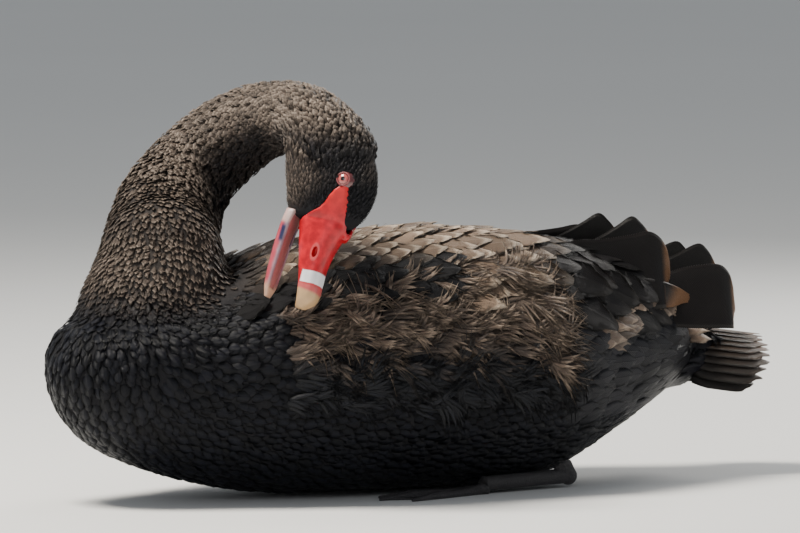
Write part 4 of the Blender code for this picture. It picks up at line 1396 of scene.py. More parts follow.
def wing_tone_and_painted_light(x: Array, angle: Array) -> Array:
    """How brown the folded wing is, partly its sun-bleached feathers and partly painted sunlight: on its
    upper part, up to the black feathers of the rump.
    """
    # Partly painted sunlight: the upper part of the wing is made brown as if lit from above.
    wing = (1 - smoothstep(36.0, 44.0, angle) * (x < -0.05)) * smoothstep(-0.21, -0.17, x)
    wing = wing * (1 - 0.985 * smoothstep(0.030, 0.062, x + 0.0006 * angle))
    return np.where(angle < WING_EDGE, wing, 0.0)


def tone_and_painted_light_at(points: Array) -> Array:
    """How brown the plumage is at points, from 0 for wet black to 1 for sun-bleached brown, with painted
    sunlight and shade on the neck, head and wings.
    """
    z = points[:, 2]
    on_neck = neck_share(points)
    outward = unit(points - NECK.points[NECK.nearest(points)[0]])
    # lit and front say how far the neck faces the painted sunlight: up and forward, and to the left.
    lit = outward @ unit(np.array([-0.45, -0.10, 0.85]))
    front = outward @ unit(np.array([-0.50, -0.85, 0.15]))
    forward, up, _ = head_lengths(points).T
    at_head = (forward > -0.066) & (z > 0.185) & (points[:, 1] < -0.045)
    share = smoothstep(-0.066, -0.050, forward) * at_head
    neck = neck_tone_and_painted_light(z, lit, front) * (1 - share) + head_tone_and_painted_light(forward, up, lit) * share
    wing = wing_tone_and_painted_light(points[:, 0], body_angle(points))
    return np.clip(wing * (1 - on_neck) + neck * on_neck, 0.0, 1.0)


BLADE_FINISH = FeatherFinish(
    "tertial_plumage", (0.0040, 0.0036, 0.0040), (0.0055, 0.0042, 0.0040), (0.170, 0.085, 0.040),
    edge_share=0.95, edge_from=0.74, barbs=0.5, barb_count=90, roughness=0.42, specular=0.18,
)
TAIL_FINISH = FeatherFinish(
    "tail_plumage", (0.0060, 0.0055, 0.0060), (0.110, 0.072, 0.050), (0.360, 0.240, 0.170),
    edge_share=0.8, edge_from=0.86, barbs=0.4, barb_count=60, roughness=0.42,
)
PLUME_FINISH = FeatherFinish(
    "flank_plumage", (0.0055, 0.0065, 0.0110), (0.145, 0.100, 0.072), (0.420, 0.320, 0.240),
    edge_share=0.8, edge_from=0.55, barbs=0.25, barb_count=8, roughness=0.5,
)
COVERT_FINISH = FeatherFinish(
    "covert_plumage", (0.0060, 0.0055, 0.0060), (0.230, 0.160, 0.115), (0.520, 0.410, 0.320),
    edge_share=0.8, edge_from=0.6, barbs=0.3, barb_count=14, roughness=0.55,
)


@dataclass(frozen=True)
class Blade:
    """One long feather standing on edge over the rump.

    Attributes:
        ridge: Places along its upper edge, with the depth that hangs below the edge there, in metres.
        lean: How far the feather leans out at its foot, as a share of its depth.
        curl: How far the tip turns in below the ridge, as a share of its depth.
    """

    ridge: tuple[tuple[float, float, float, float], ...]
    lean: float = 0.35
    curl: float = 0.25


BLADES = (
    Blade(((0.070, -0.044, 0.170, 0.034), (0.103, -0.048, 0.177, 0.046), (0.123, -0.048, 0.177, 0.050),
           (0.150, -0.047, 0.179, 0.054), (0.167, -0.046, 0.181, 0.055), (0.178, -0.045, 0.1765, 0.051),
           (0.185, -0.044, 0.168, 0.042), (0.188, -0.043, 0.159, 0.030))),
    Blade(((0.130, -0.038, 0.138, 0.016), (0.160, -0.040, 0.142, 0.030), (0.185, -0.040, 0.149, 0.038),
           (0.205, -0.040, 0.1535, 0.044), (0.232, -0.039, 0.1545, 0.046), (0.243, -0.038, 0.149, 0.042),
           (0.248, -0.037, 0.139, 0.033), (0.249, -0.036, 0.128, 0.020))),
    Blade(((0.100, -0.024, 0.166, 0.020), (0.135, -0.024, 0.1755, 0.030), (0.155, -0.023, 0.184, 0.040),
           (0.169, -0.022, 0.1905, 0.046), (0.178, -0.022, 0.185, 0.042), (0.185, -0.022, 0.177, 0.032),
           (0.189, -0.022, 0.168, 0.020)), 0.2),
    Blade(((0.170, -0.018, 0.146, 0.014), (0.197, -0.017, 0.1565, 0.026), (0.212, -0.016, 0.161, 0.034),
           (0.232, -0.015, 0.1680, 0.040), (0.241, -0.015, 0.163, 0.036), (0.247, -0.015, 0.154, 0.026),
           (0.250, -0.015, 0.146, 0.016)), 0.2),
    Blade(((0.060, -0.060, 0.154, 0.014), (0.095, -0.063, 0.153, 0.019), (0.130, -0.062, 0.151, 0.021),
           (0.165, -0.057, 0.147, 0.020), (0.188, -0.051, 0.141, 0.016), (0.203, -0.047, 0.134, 0.008)),
          0.3, 0.1),
)
TAIL_FORM = VaneForm(
    (0.6, 0.85, 1.0, 1.0, 1.0, 1.0, 0.97, 0.84, 0.42), (0.0,) * 9,
    columns=7, droop=0.0012, thickness=0.0006, rounding=0.10, ragged=0.08,
)
SIDE_FORM = VaneForm(
    (0.5, 0.85, 1.0, 1.0, 0.95, 0.85, 0.5), (-0.0008, 0.0004, 0.0012, 0.0017, 0.0019, 0.0018, 0.0014),
    columns=5, droop=0.0008, thickness=0.0004, rounding=0.3, ragged=0.12,
)
BANK_FORM = VaneForm(
    (0.5, 0.9, 1.0, 1.0, 0.85, 0.6, 0.25), (-0.0004, 0.0010, 0.0022, 0.0028, 0.0030, 0.0029, 0.0026),
    columns=5, droop=0.0008, thickness=0.0004, rounding=0.3, ragged=0.25,
)
TOP_FORM = VaneForm(
    (0.5, 0.9, 1.0, 1.0, 0.9, 0.75, 0.4), (0.0,) * 7,
    columns=5, droop=0.0012, thickness=0.0004, rounding=0.3, ragged=0.30,
)
STRAND_FORM = VaneForm(
    (0.7, 1.0, 1.0, 0.9, 0.78, 0.6, 0.38, 0.10), (0.0004,) * 8, droop=0.0003, thickness=0.00045
)

# Where the banks of coverts and the plumes lie, read between places along the body.
BANK_TOP = ((0.070, 0.118, 0.140, 0.178, 0.209, 0.222), (0.108, 0.122, 0.132, 0.133, 0.130, 0.120))
RUMP_TOP = ((0.118, 0.140, 0.178, 0.209, 0.220, 0.230), (0.112, 0.121, 0.123, 0.121, 0.114, 0.107))
PLUME_EDGE = ((-0.170, -0.130, -0.095, -0.060, -0.020, 0.030), (58.0, 60.0, 56.0, 50.0, 46.0, 50.0))


@dataclass
class LongFeathers:
    """The curled feathers over the rump, the tail and the loose plumes of the flanks.

    Attributes:
        hide: The skin that they grow on.
        seed: Start of the source of chance.
        blade_columns: Points down each blade's side.
        tail_pairs: Pairs of feathers in each layer of the tail.
        tail_layers: Length of each layer as a share, and how far it is raised.
        tail_width: Width of a tail feather.
        top_count: Loose coverts over the tail's root.
        plume_angles: First angle, last angle and step of the plumes' rows, in degrees from the back.
        plume_reach: Start, end and spacing of a row along the body.
        droop_count: Tufts in the bunch that hangs at the flank's end.
        strands: Strands in a tuft.
    """

    hide: Hide
    seed: int = 11
    blade_columns: int = 15
    tail_pairs: int = 9
    tail_layers: tuple[tuple[float, float], ...] = ((1.0, 0.0), (0.90, -0.006))
    tail_width: float = 0.021
    top_count: int = 420
    plume_angles: tuple[float, float, float] = (44.0, 102.0, 3.2)
    plume_reach: tuple[float, float, float] = (-0.172, 0.052, 0.0081)
    droop_count: int = 34
    strands: int = 6

    def __post_init__(self) -> None:
        """Starts the seeded source of chance."""
        self.rng = np.random.default_rng(self.seed)

    def _growth(self, faces: Array, *spans: float | tuple[float, float] | Array) -> Growth:
        """Draws widths, rises and tones for feathers rooted over faces.

        Args:
            faces: The skin's face under each root.
            *spans: Width, rise and tone: the ends of a random span, or what they are.

        Returns:
            The growth, with a random tint for each feather.
        """
        count = len(faces)
        width, rise = (self._drawn(span, count) for span in spans[:2])
        tint = self.rng.random(count)
        return Growth(width, rise, tint, self._drawn(spans[2], count), self.hide.face_uv[faces])

    def _drawn(self, span: float | tuple[float, float] | Array, count: int) -> Array:
        """Random values between two ends, or the given value for each feather."""
        return self.rng.uniform(*span, count) if isinstance(span, tuple) else np.full(count, span)

    def blades(self) -> None:
        """Broad glossy feathers standing on edge over the rump, their squared tips curled in."""
        finish = BLADE_FINISH.build()
        for side in Side:
            coat = Coat("tertials_" + side.word, "wing_feathers", finish)
            for blade in BLADES:
                self._blade(coat, blade, side)
            coat.finished()

    def _blade(self, coat: Coat, blade: Blade, side: Side) -> None:
        """Adds one blade: a smooth sheet that hangs from its ridge, its tip cut back and frayed."""
        rows = [(x, -y * side.value, z, depth) for x, y, z, depth in blade.ridge]
        ridge = Route.through(rows, 5)
        columns = self.blade_columns
        t = np.linspace(0.0, 1.0, len(ridge.points))
        share = np.linspace(0.0, 1.0, columns)[None, :]
        end = smoothstep(0.60, 1.0, t)[:, None]
        uneven = 0.12 * self.rng.random(columns)[None, :] * end**3 * share
        drop = ridge.radii[:, None] * share * (1 - uneven)
        inward = blade.curl * share**1.4 * smoothstep(0.55, 1.0, t)[:, None] * 1.4
        lean = blade.lean * (1 - (1 - share) ** 2) - inward
        back = -drop * (0.10 + 0.30 * share) * end
        fray = self.rng.uniform(-0.0016, 0.0004, columns)[None, :] * smoothstep(0.9, 1.0, t)[:, None]
        sheet = ridge.points[:, None, :] + ridge.tangents[:, None, :] * (back + fray)[..., None]
        sheet = sheet + np.array([0.0, side.value, 0.0]) * (drop * lean)[..., None]
        sheet = sheet + np.array([0.0, 0.0, -1.0]) * drop[..., None]
        ahead, across = unit(np.gradient(sheet, axis=0)), unit(np.gradient(sheet, axis=1))
        ups = unit(np.cross(across, ahead)) * side.value
        thick = (0.0005 * (1 - 0.6 * share) * (1 - 0.5 * t[:, None]))[..., None]
        over, under = sheet + ups * thick, sheet - ups * thick
        ring = np.concatenate([over, under[:, -2:0:-1, :]], 1)
        around = np.concatenate([share[0], share[0, -2:0:-1]]) * 0.9
        if side is Side.LEFT:
            ring, around = ring[:, ::-1], around[::-1]
        _, face = self.hide.nearest(ridge.points[:1])
        coat.add(ring[None], around, t, self._growth(face, 1.0, 1.0, 1.0))

    def tail(self) -> None:
        """A short roofed fan, long black coverts along its sides and brown fluffy ones on top."""
        coat = Coat("tail_fan", "tail_feathers", TAIL_FINISH.build())
        for layer, (reach, sink) in enumerate(self.tail_layers):
            for side in Side:
                for pair in range(self.tail_pairs):
                    place = (pair + 0.5) / self.tail_pairs
                    length = (0.079 - 0.026 * place**1.5) * reach * self.rng.uniform(0.96, 1.0)
                    along = np.linspace(0.0, length, TAIL_FORM.stations)
                    rise = 0.0008 * (side is Side.LEFT) - 0.0009 * pair + sink
                    lines = np.array([self._tail_point(a, place * -side.value, rise) for a in along])
                    out = np.array([0.0, 0.8 * place * side.value, 1.0])
                    # The tone is painted light: the middle of the roof and the upper layer are brown as if
                    # sunlit from above, the sides and the lower layer black as if in shade.
                    self._stiff_feather(coat, lines, out, (0.9 - 0.3 * layer) * (1 - 0.85 * place))
        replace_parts(coat.finished(), "tail")
        self._side_coverts()
        self._top_coverts()

    def _stiff_feather(self, coat: Coat, lines: Array, out: Array, tone: float) -> None:
        """Adds one stiff feather of a tone along a line, its upper face turned outward."""
        ahead = unit(np.gradient(lines, axis=0))
        ups = unit(out - ahead * (ahead @ out)[:, None])
        _, face = self.hide.nearest(lines[:1])
        growth = self._growth(face, self.tail_width, 1.0, (0.6 * tone, tone))
        trails = Trails(lines[None], ups[None], np.cross(ahead, ups)[None])
        coat.lay(trails, TAIL_FORM, growth, self.rng)

    def _side_coverts(self) -> None:
        """Long smooth black feathers lying back along the rump's sides to the tail."""
        hide, rng = self.hide, self.rng
        points = hide.face_points
        chosen = (points[:, 0] > 0.050) & (points[:, 0] < 0.232) & (points[:, 2] > 0.050)
        chosen &= (body_angle(points) > 50) & (hide.face_normals[:, 0] < 0.60)
        roots, faces = hide.scatter(chosen, 0.0074, rng)
        count = len(roots)
        grow = smoothstep(0.05, 0.20, roots[:, 0])
        trails = hide.trails(roots, faces, 0.036 + 0.018 * grow, 8, rng.normal(0, 0.08, count))
        way = unit(np.array([1.0, 0.0, 0.05]))
        ends = trails.lines[:, -1, 0] > 0.236
        t = np.linspace(0, 1, trails.lines.shape[1])[None, :, None]
        straight = roots[:, None, :] + way * (t * (0.036 - 0.010 * grow)[:, None, None])
        share = smoothstep(0.16, 0.225, roots[:, 0])[:, None, None] * ends[:, None, None]
        lines = trails.lines * (1 - share) + straight * share
        coat = Coat("rump_coverts", "black_feathers", bpy.data.materials[BODY_FINISH.name])
        growth = self._growth(faces, 0.0145, (0.6, 1.2), 0.04)
        coat.lay(Trails(lines, trails.ups, trails.sides), SIDE_FORM, growth, rng)
        coat.finished()

    def _bank(self, coat: Coat) -> None:
        """Fluffy brown coverts along the sides of the rump, just above the tail's black sides."""
        hide, rng = self.hide, self.rng
        points = hide.face_points
        over = points[:, 2] - np.interp(points[:, 0], *BANK_TOP)
        chosen = (points[:, 0] > 0.084) & (points[:, 0] < 0.226) & (over < 0.006) & (over > -0.009)
        chosen &= (body_angle(points) > 25) & (hide.face_normals[:, 0] < 0.75)
        roots, faces = hide.scatter(chosen, 0.0042, rng)
        count = len(roots)
        length = rng.uniform(0.024, 0.038, count)
        trails = hide.trails(roots, faces, length, 6, rng.normal(0, 0.14, count))
        curl = rng.normal(0, 0.003, count)[:, None, None] * np.linspace(0, 1, 7)[None, :, None] ** 2
        growth = self._growth(faces, (0.005, 0.010), (0.7, 1.2), (0.25, 0.8))
        coat.lay(Trails(trails.lines + trails.sides * curl, trails.ups, trails.sides), BANK_FORM, growth, rng)

    def _top_coverts(self) -> None:
        """Loose brown coverts with frayed pale edges over the root of the tail."""
        hide, rng = self.hide, self.rng
        coat = Coat("tail_coverts", "tail_feathers", COVERT_FINISH.build())
        self._bank(coat)
        count = self.top_count
        along = rng.uniform(0.0, 1.0, count)
        spread = rng.uniform(-1.0, 1.0, count)
        x = 0.118 + 0.100 * along
        roots = np.stack([x, 0.030 * spread, np.interp(x, *RUMP_TOP) - 0.003 - 0.016 * spread**2], 1)
        length = rng.uniform(0.018, 0.032, count)
        t = np.linspace(0, 1, 7)[None, :, None]
        fall = np.stack([np.ones(count), 0.22 * spread, rng.normal(0.02, 0.06, count) - 0.14], 1)
        lines = roots[:, None, :] + unit(fall)[:, None, :] * (t * length[:, None, None])
        lines[..., 2] -= 0.004 * (t[..., 0] ** 2) * rng.uniform(0.3, 1.6, (count, 1))
        ahead = unit(np.gradient(lines, axis=1))
        out = np.stack([np.zeros(count), 0.9 * spread, np.ones(count)], 1)[:, None, :]
        ups = unit(out - ahead * np.sum(ahead * out, 2, keepdims=True))
        _, faces = hide.nearest(roots)
        growth = self._growth(faces, (0.006, 0.014), 1.0, (0.55, 1.0))
        coat.lay(Trails(lines, ups, np.cross(ahead, ups)), TOP_FORM, growth, rng)
        coat.finished()

    @staticmethod
    def _tail_point(along: float, spread: float, rise: float) -> Array:
        """A point of the tail's roof; spread runs from -1 at the right edge to 1 at the left edge."""
        turn = math.radians(30.0) * spread
        x = 0.2195 + along * math.cos(turn)
        y = -0.027 * spread - along * math.sin(turn)
        z = 0.1085 - 0.027 * spread**2 - along * math.sin(math.radians(8.0)) + rise
        return np.array([x, y, z])

    def plumes(self) -> None:
        """Loose shaggy plumes with curled tips along the flanks, under the folded wings."""
        finish = PLUME_FINISH.build()
        for side in Side:
            coat = Coat("flank_plumes_" + side.word, "flank_feathers", finish)
            for row, angle in enumerate(np.arange(*self.plume_angles)):
                self._plume_row(coat, side, angle, row)
            self._drooping_tuft(coat, side)
            coat.finished()

    def _plume_row(self, coat: Coat, side: Side, angle: float, row: int) -> None:
        """Adds one lengthwise row of tufts of loose strands at an angle from the back."""
        rng = self.rng
        start, end, gap = self.plume_reach
        xs = np.arange(start + 0.004 * (row % 2), end, gap)
        xs = xs[np.interp(xs, *PLUME_EDGE) < angle]
        if not len(xs):
            return
        xs = xs + rng.normal(0, 0.002, len(xs))
        turns = np.radians(angle + rng.normal(0, 1.2, len(xs)))
        _, places, faces = self.hide.cast_out(xs, turns, side)
        wave = np.sin(places[:, 0] * 95.0 + angle * 0.31) * 0.45 + rng.normal(0.05, 0.20, len(places))
        # Upper rows brown and lower rows black: partly the plumes' own colour and partly painted sunlight
        # from above, with painted shade on the rows that face down.
        brown = np.clip(1.0 - (angle - 78.0) / 12.0, 0.0, 1.0)
        tone = brown * rng.uniform(0.45, 1.0, len(places))
        self._tufts(coat, side, places, faces, rng.uniform(0.020, 0.032, len(places)), wave, tone)

    def _drooping_tuft(self, coat: Coat, side: Side) -> None:
        """Adds the long curled tuft that hangs down at the end of the flank."""
        rng = self.rng
        share = rng.random(self.droop_count)
        turns = np.radians(50.0 + 40.0 * share)
        xs = 0.004 + 0.034 * share + rng.normal(0, 0.004, self.droop_count)
        _, places, faces = self.hide.cast_out(xs, turns, side)
        turn = rng.normal(0.75, 0.25, len(places))
        length, tone = rng.uniform(0.028, 0.044, len(places)), rng.uniform(0.6, 1.0, len(places))
        self._tufts(coat, side, places, faces, length, turn, tone, 1.6)

    def _tufts(
        self, coat: Coat, side: Side, places: Array, faces: Array, lengths: Array, turns: Array,
        tones: Array, lift: float = 1.0,
    ) -> None:
        """Adds a tuft of strands at each place.

        Args:
            coat: The piece that they join.
            side: The bird's side.
            places: Where the tufts grow.
            faces: The skin's face under each.
            lengths: How long each tuft is.
            turns: How far each turns down off the lie, in radians.
            tones: How brown each is.
            lift: How far the strands stand off, as a share of the usual.
        """
        rng, tufts = self.rng, len(places)
        tuft = np.repeat(np.arange(tufts), self.strands)
        count = len(tuft)
        spots, faces = self.hide.nearest(places[tuft] + rng.normal(0, 0.0016, (count, 3)))
        turn = (turns[tuft] + rng.normal(0, 0.16, count)) * -side.value
        length = lengths[tuft] * rng.uniform(0.75, 1.1, count)
        trails = self.hide.trails(spots, faces, length, 7, turn)
        t = np.linspace(0, 1, 8)[None, :, None]
        hook = rng.normal(0.0, 0.010, tufts)[tuft] + rng.normal(0, 0.002, count)
        rise = lift * (np.abs(rng.normal(0.0030, 0.0016, tufts))[tuft] + rng.uniform(0.0, 0.0016, count))
        lines = trails.lines + trails.sides * hook[:, None, None] * t**2.2
        lines = lines + trails.ups * rise[:, None, None] * t**0.7
        growth = self._growth(faces, (0.0022, 0.0042), 1.0, tones[tuft])
        coat.lay(Trails(lines, trails.ups, trails.sides), STRAND_FORM, growth, rng)


# Rows of forward, top, bottom, half width and height of the widest line, in the head's own lengths.
UPPER_BILL = (
    (0.0325, 0.0096, -0.0262, 0.0152, -0.0085),
    (0.040, 0.0062, -0.0240, 0.0144, -0.0085),
    (0.050, 0.0036, -0.0210, 0.0134, -0.0085),
    (0.062, 0.0020, -0.0172, 0.0126, -0.0075),
    (0.074, 0.0022, -0.0136, 0.0124, -0.0055),
    (0.082, 0.0024, -0.0120, 0.0114, -0.0048),
    (0.088, 0.0004, -0.0112, 0.0090, -0.0054),
    (0.0925, -0.0045, -0.0112, 0.0048, -0.0080),
)
LOWER_BILL = (
    (0.0270, -0.0270, -0.0372, 0.0128, -0.0300),
    (0.0325, -0.0283, -0.0378, 0.0134, -0.0310),
    (0.045, -0.0298, -0.0388, 0.0122, -0.0320),
    (0.060, -0.0304, -0.0386, 0.0114, -0.0325),
    (0.074, -0.0308, -0.0378, 0.0108, -0.0328),
    (0.084, -0.0312, -0.0366, 0.0092, -0.0328),
    (0.0905, -0.0322, -0.0350, 0.0052, -0.0335),
)
NOSTRIL = (0.0525, -0.0055)


@dataclass(frozen=True)
class BillForm:
    """A tapering tube along the bill, in the head's own lengths.

    Attributes:
        rows: Forward, top, bottom, half width and height of the widest line, in metres.
        rings: Rings along the tube.
        sides: Points round each ring.
        power: How square its outline is; 2 is round.
    """

    rows: tuple[tuple[float, ...], ...]
    rings: int = 44
    sides: int = 48
    power: float = 2.7

    def build(self) -> bmesh.types.BMesh:
        """Bridges circles shaped to the rows into one closed tube."""
        bm = bmesh.new()
        table = np.array(self.rows)
        edges: list[bmesh.types.BMEdge] = []
        for i in range(self.rings + 1):
            forward = table[0, 0] + (table[-1, 0] - table[0, 0]) * math.sin(i / self.rings * math.pi / 2)
            top, bottom, half, middle = (self.read(table, forward, k) for k in range(1, 5))
            circle = bmesh.ops.create_circle(bm, segments=self.sides, radius=1.0)["verts"]
            for vert in circle:
                turn = math.atan2(vert.co.x, vert.co.y)
                across = math.copysign(abs(math.sin(turn)) ** (2 / self.power), math.sin(turn))
                rise = math.copysign(abs(math.cos(turn)) ** (2 / self.power), math.cos(turn))
                up = middle + rise * ((top - middle) if rise > 0 else (middle - bottom))
                vert.co = head_point(forward, up, half * across)
            ring = list({edge for vert in circle for edge in vert.link_edges})
            if i:
                bmesh.ops.bridge_loops(bm, edges=edges + ring)
            edges = ring
        bmesh.ops.holes_fill(bm, edges=[edge for edge in bm.edges if edge.is_boundary])
        return bm

    @staticmethod
    def read(table: Array, forward: float, column: int) -> float:
        """Reads one column of a table of rows smoothly at a length forward."""
        keys = table[:, 0]
        values = table[:, column]
        i = int(np.clip(np.searchsorted(keys, forward) - 1, 0, len(keys) - 2))
        slopes = np.gradient(values, keys)
        span = keys[i + 1] - keys[i]
        t = (forward - keys[i]) / span
        ends = (2 * t**3 - 3 * t**2 + 1) * values[i] + (3 * t**2 - 2 * t**3) * values[i + 1]
        return float(ends + (t**3 - 2 * t**2 + t) * span * slopes[i] + (t**3 - t**2) * span * slopes[i + 1])

    def side_at(self, forward: float, up: float) -> float:
        """How far the surface lies from the head's middle at a length and a height."""
        top, bottom, half, middle = (self.read(np.array(self.rows), forward, k) for k in range(1, 5))
        share = abs(up - middle) / ((top - middle) if up > middle else (middle - bottom))
        return half * max(1 - min(share, 1.0) ** self.power, 0.0) ** (1 / self.power)


@dataclass(frozen=True)
class Face:
    """The bill, eyes, lids and bare skin of the head.

    Attributes:
        hide: The skin that the face is set on.
        bill_voxel: Size of the voxels that fuse the upper bill with the bare skin.
        bill_smoothings: Smoothing passes over both.
        nostril_size: Half lengths of each nostril.
        trough_depth: How deep the lower bill is hollowed.
        trough_wall: Thickness of its sides.
        cornea: How far the cornea stands up.
        lid_thickness: Half the thickness of a lid.
        lores_length: Length of the bare skin along the head.
        lores_raise: How far it rises from its rim.
        lores_sink: How far its rim lies under the skin.
        lores_rim: Width of the rim over which it rises.
        lores_thickness: Thickness of the sheet.
    """

    hide: Hide
    bill_voxel: float = 0.00055
    bill_smoothings: int = 14
    nostril_size: tuple[float, float, float] = (0.0040, 0.0019, 0.0034)
    trough_depth: float = 0.0036
    trough_wall: float = 0.0021
    cornea: float = 0.0006
    lid_thickness: float = 0.00068
    lores_length: float = 0.0380
    lores_raise: float = 0.0020
    lores_sink: float = 0.0009
    lores_rim: float = 0.0025
    lores_thickness: float = 0.0022

    def build(self) -> None:
        """Builds every piece of the face."""
        self._upper_bill()
        self._lower_bill()
        self._tongue()
        self._eyes()
        self._lids()

    def _upper_bill(self) -> None:
        """The upper bill with its nostrils, grown together with the bare red skin up to the eyes."""
        horn = bmesh.new()
        form = BillForm(UPPER_BILL)
        for piece in (object_from("horn", form.build()), *(self._lores(side) for side in Side)):
            horn.from_mesh(piece.data)
            bpy.data.objects.remove(piece, do_unlink=True)
        bill = object_from("bill_upper_horn", horn)
        add_modifier(bill, "REMESH", mode="VOXEL", voxel_size=self.bill_voxel)
        add_modifier(bill, "SMOOTH", factor=0.5, iterations=self.bill_smoothings)
        bake_modifiers(bill)
        size = Matrix(head_axes()).transposed().to_4x4() @ Matrix.Diagonal((*self.nostril_size, 1.0))
        cutters = []
        for side in Side:
            bm = bmesh.new()
            bmesh.ops.create_uvsphere(bm, u_segments=24, v_segments=14, radius=1.0)
            middle = head_point(*NOSTRIL, side.value * form.side_at(*NOSTRIL))
            bmesh.ops.transform(bm, matrix=Matrix.Translation(middle) @ size, verts=bm.verts)
            cutters.append(object_from("nostril_" + side.word, bm))
        cut(bill, cutters, "EXACT")
        register(bill, "red_bill", self._bare_skin(), "bill_upper")

    def _lower_bill(self) -> None:
        """The lower bill, hollow above."""
        bill = object_from("bill_lower_horn", BillForm(LOWER_BILL).build())
        trough = np.array(LOWER_BILL)[:-1]
        rim = trough[:, 1].copy()
        trough[:, 1], trough[:, 2], trough[:, 4] = rim + 0.0040, rim - self.trough_depth, rim
        trough[:, 3] -= self.trough_wall
        trough[0, 0] += 0.0022
        hollow = object_from("hollow", BillForm(tuple(map(tuple, trough)), rings=24, sides=32).build())
        cut(bill, [hollow], "EXACT")
        register(bill, "red_bill", self._lower_skin(), "bill_lower")

    @staticmethod
    def _lower_skin() -> bpy.types.Material:
        """The lower bill's rose and lilac, with a dark blue spot on each side and a pale root and tip."""
        paint = Paint("lower_bill_skin", roughness=0.34, specular=0.45, Coat_Weight=0.25)
        forward, up, right = paint.head_lengths()
        aside = right.size()
        rose, lilac, tip = (0.430, 0.060, 0.085), (0.330, 0.235, 0.280), (0.600, 0.360, 0.250)
        patches = paint.noise(220.0, 4.0)
        edge = (up + patches * 0.002).rise(-0.0335, -0.0305) * aside.rise(0.006, 0.010)
        base = paint.mix(edge, rose, lilac)
        inside = up.rise(-0.0300, -0.0322) * aside.rise(0.010, 0.007)
        base = paint.mix(inside, base, (0.300, 0.100, 0.110))
        base = paint.mix((forward + patches * 0.004).rise(0.080, 0.088), base, tip)
        spot = (forward - 0.045).size().rise(0.008, 0.004) * (up + 0.0330).size().rise(0.0024, 0.0008)
        base = paint.mix(spot, base, (0.020, 0.022, 0.070))
        base = paint.mix(forward.rise(0.0385, 0.0355) * 0.8, base, (0.560, 0.420, 0.380))
        paint.feed("Base Color", paint.shade(base, patches * 0.5 + 0.75))
        paint.bump(paint.noise(900.0, 3.0), 0.0002)
        return paint.material

    def _tongue(self) -> None:
        """A fleshy tongue in the open lower bill."""
        forward, top, _, half, _ = np.array(LOWER_BILL)[:-1].T
        rows = np.stack([forward, top - 0.0004, top - 0.0040, half - 0.0040, top - 0.0022], 1)
        form = BillForm(tuple(map(tuple, rows)), rings=24, sides=24, power=2.2)
        tongue = object_from("tongue", form.build())
        paint = Paint("tongue_flesh", roughness=0.35, specular=0.5, Subsurface_Weight=0.1)
        base = paint.mix(paint.noise(400.0, 3.0), (0.40, 0.10, 0.11), (0.52, 0.20, 0.19))
        paint.feed("Base Color", base)
        paint.bump(paint.noise(1500.0), 0.0002)
        register(tongue, "red_bill", paint.material)

    @staticmethod
    def _bare_skin() -> bpy.types.Material:
        """The red of the bill and lores, with a white band and a pale nail at the tip."""
        paint = Paint("red_bill_skin", roughness=0.36, specular=0.4, Coat_Weight=0.15, Coat_Roughness=0.25)
        forward, up, _ = paint.head_lengths()
        patches, grain = paint.noise(160.0, 5.0), paint.noise(1400.0, 3.0)
        base = paint.mix(patches.rise(0.3, 0.7), (0.360, 0.0002, 0.0070), (0.560, 0.0010, 0.0130))
        base = paint.mix(forward.rise(0.030, 0.006) * 0.6, base, (0.620, 0.012, 0.008))
        edge = (up + patches * 0.003).rise(-0.0125, -0.0175) * forward.rise(0.045, 0.060)
        base = paint.mix(edge * 0.7, base, (0.560, 0.120, 0.160))
        wavy = forward + patches * 0.0012 + grain * 0.0005
        low = (wavy + up * 0.10).rise(0.0658, 0.0668)
        high = (wavy + up * 0.06).rise(0.0756, 0.0748)
        band = low * high * (up + grain * 0.0010).rise(-0.0105, -0.0092)
        base = paint.mix(band, base, (0.800, 0.780, 0.800))
        beyond = wavy.rise(0.0750, 0.0775)
        base = paint.mix(beyond * 0.45, base, (0.600, 0.200, 0.190))
        nail = (wavy - up * 0.10).rise(0.0796, 0.0822)
        base = paint.mix(nail, base, (0.520, 0.330, 0.170))
        across, down = (forward - NOSTRIL[0]) * (1 / 0.0044), (up - NOSTRIL[1]) * (1 / 0.0021)
        off = (across * across + down * down) ** 0.5
        rim = off.rise(1.7, 1.25) * off.rise(0.8, 1.0)
        base = paint.mix(rim * 0.45, base, (0.660, 0.130, 0.130))
        paint.feed("Base Color", paint.shade(base, patches * 0.4 + 0.80))
        paint.feed("Roughness", grain * 0.25 + 0.26)
        paint.bump(grain * 0.4 + patches * 0.9, 0.0003)
        return paint.material

    def _eyes(self) -> None:
        """Two eyeballs with a slightly raised cornea."""
        along, crown, _ = head_axes()
        for side in Side:
            bm = bmesh.new()
            bmesh.ops.create_uvsphere(bm, u_segments=48, v_segments=32, radius=EYE_RADIUS)
            for vert in bm.verts:
                share = max(vert.co.z / EYE_RADIUS, 0.0)
                vert.co.z += self.cornea * max((share - 0.86) / 0.14, 0.0)
            place = eye_place(side, EYE_SIDE)
            bmesh.ops.transform(bm, matrix=place, verts=bm.verts)
            paint = Paint(
                "eye_" + side.word, roughness=0.04, specular=0.6, Coat_Weight=1.0, Coat_Roughness=0.02
            )
            forward, up = (paint.along(place.translation, axis) for axis in (along, crown))
            off = (forward * forward + up * up) ** 0.5
            base = paint.mix(paint.noise(1800.0, 3.0), (0.380, 0.040, 0.042), (0.560, 0.140, 0.120))
            base = paint.mix(off.rise(0.0030, 0.0038), base, (0.090, 0.012, 0.014))
            base = paint.mix(off.rise(0.00165, 0.00145), base, (0.003, 0.002, 0.002))
            paint.feed("Base Color", base)
            register(object_from("eyeball_" + side.word, bm), "eye", paint.material, "eye_" + side.word)

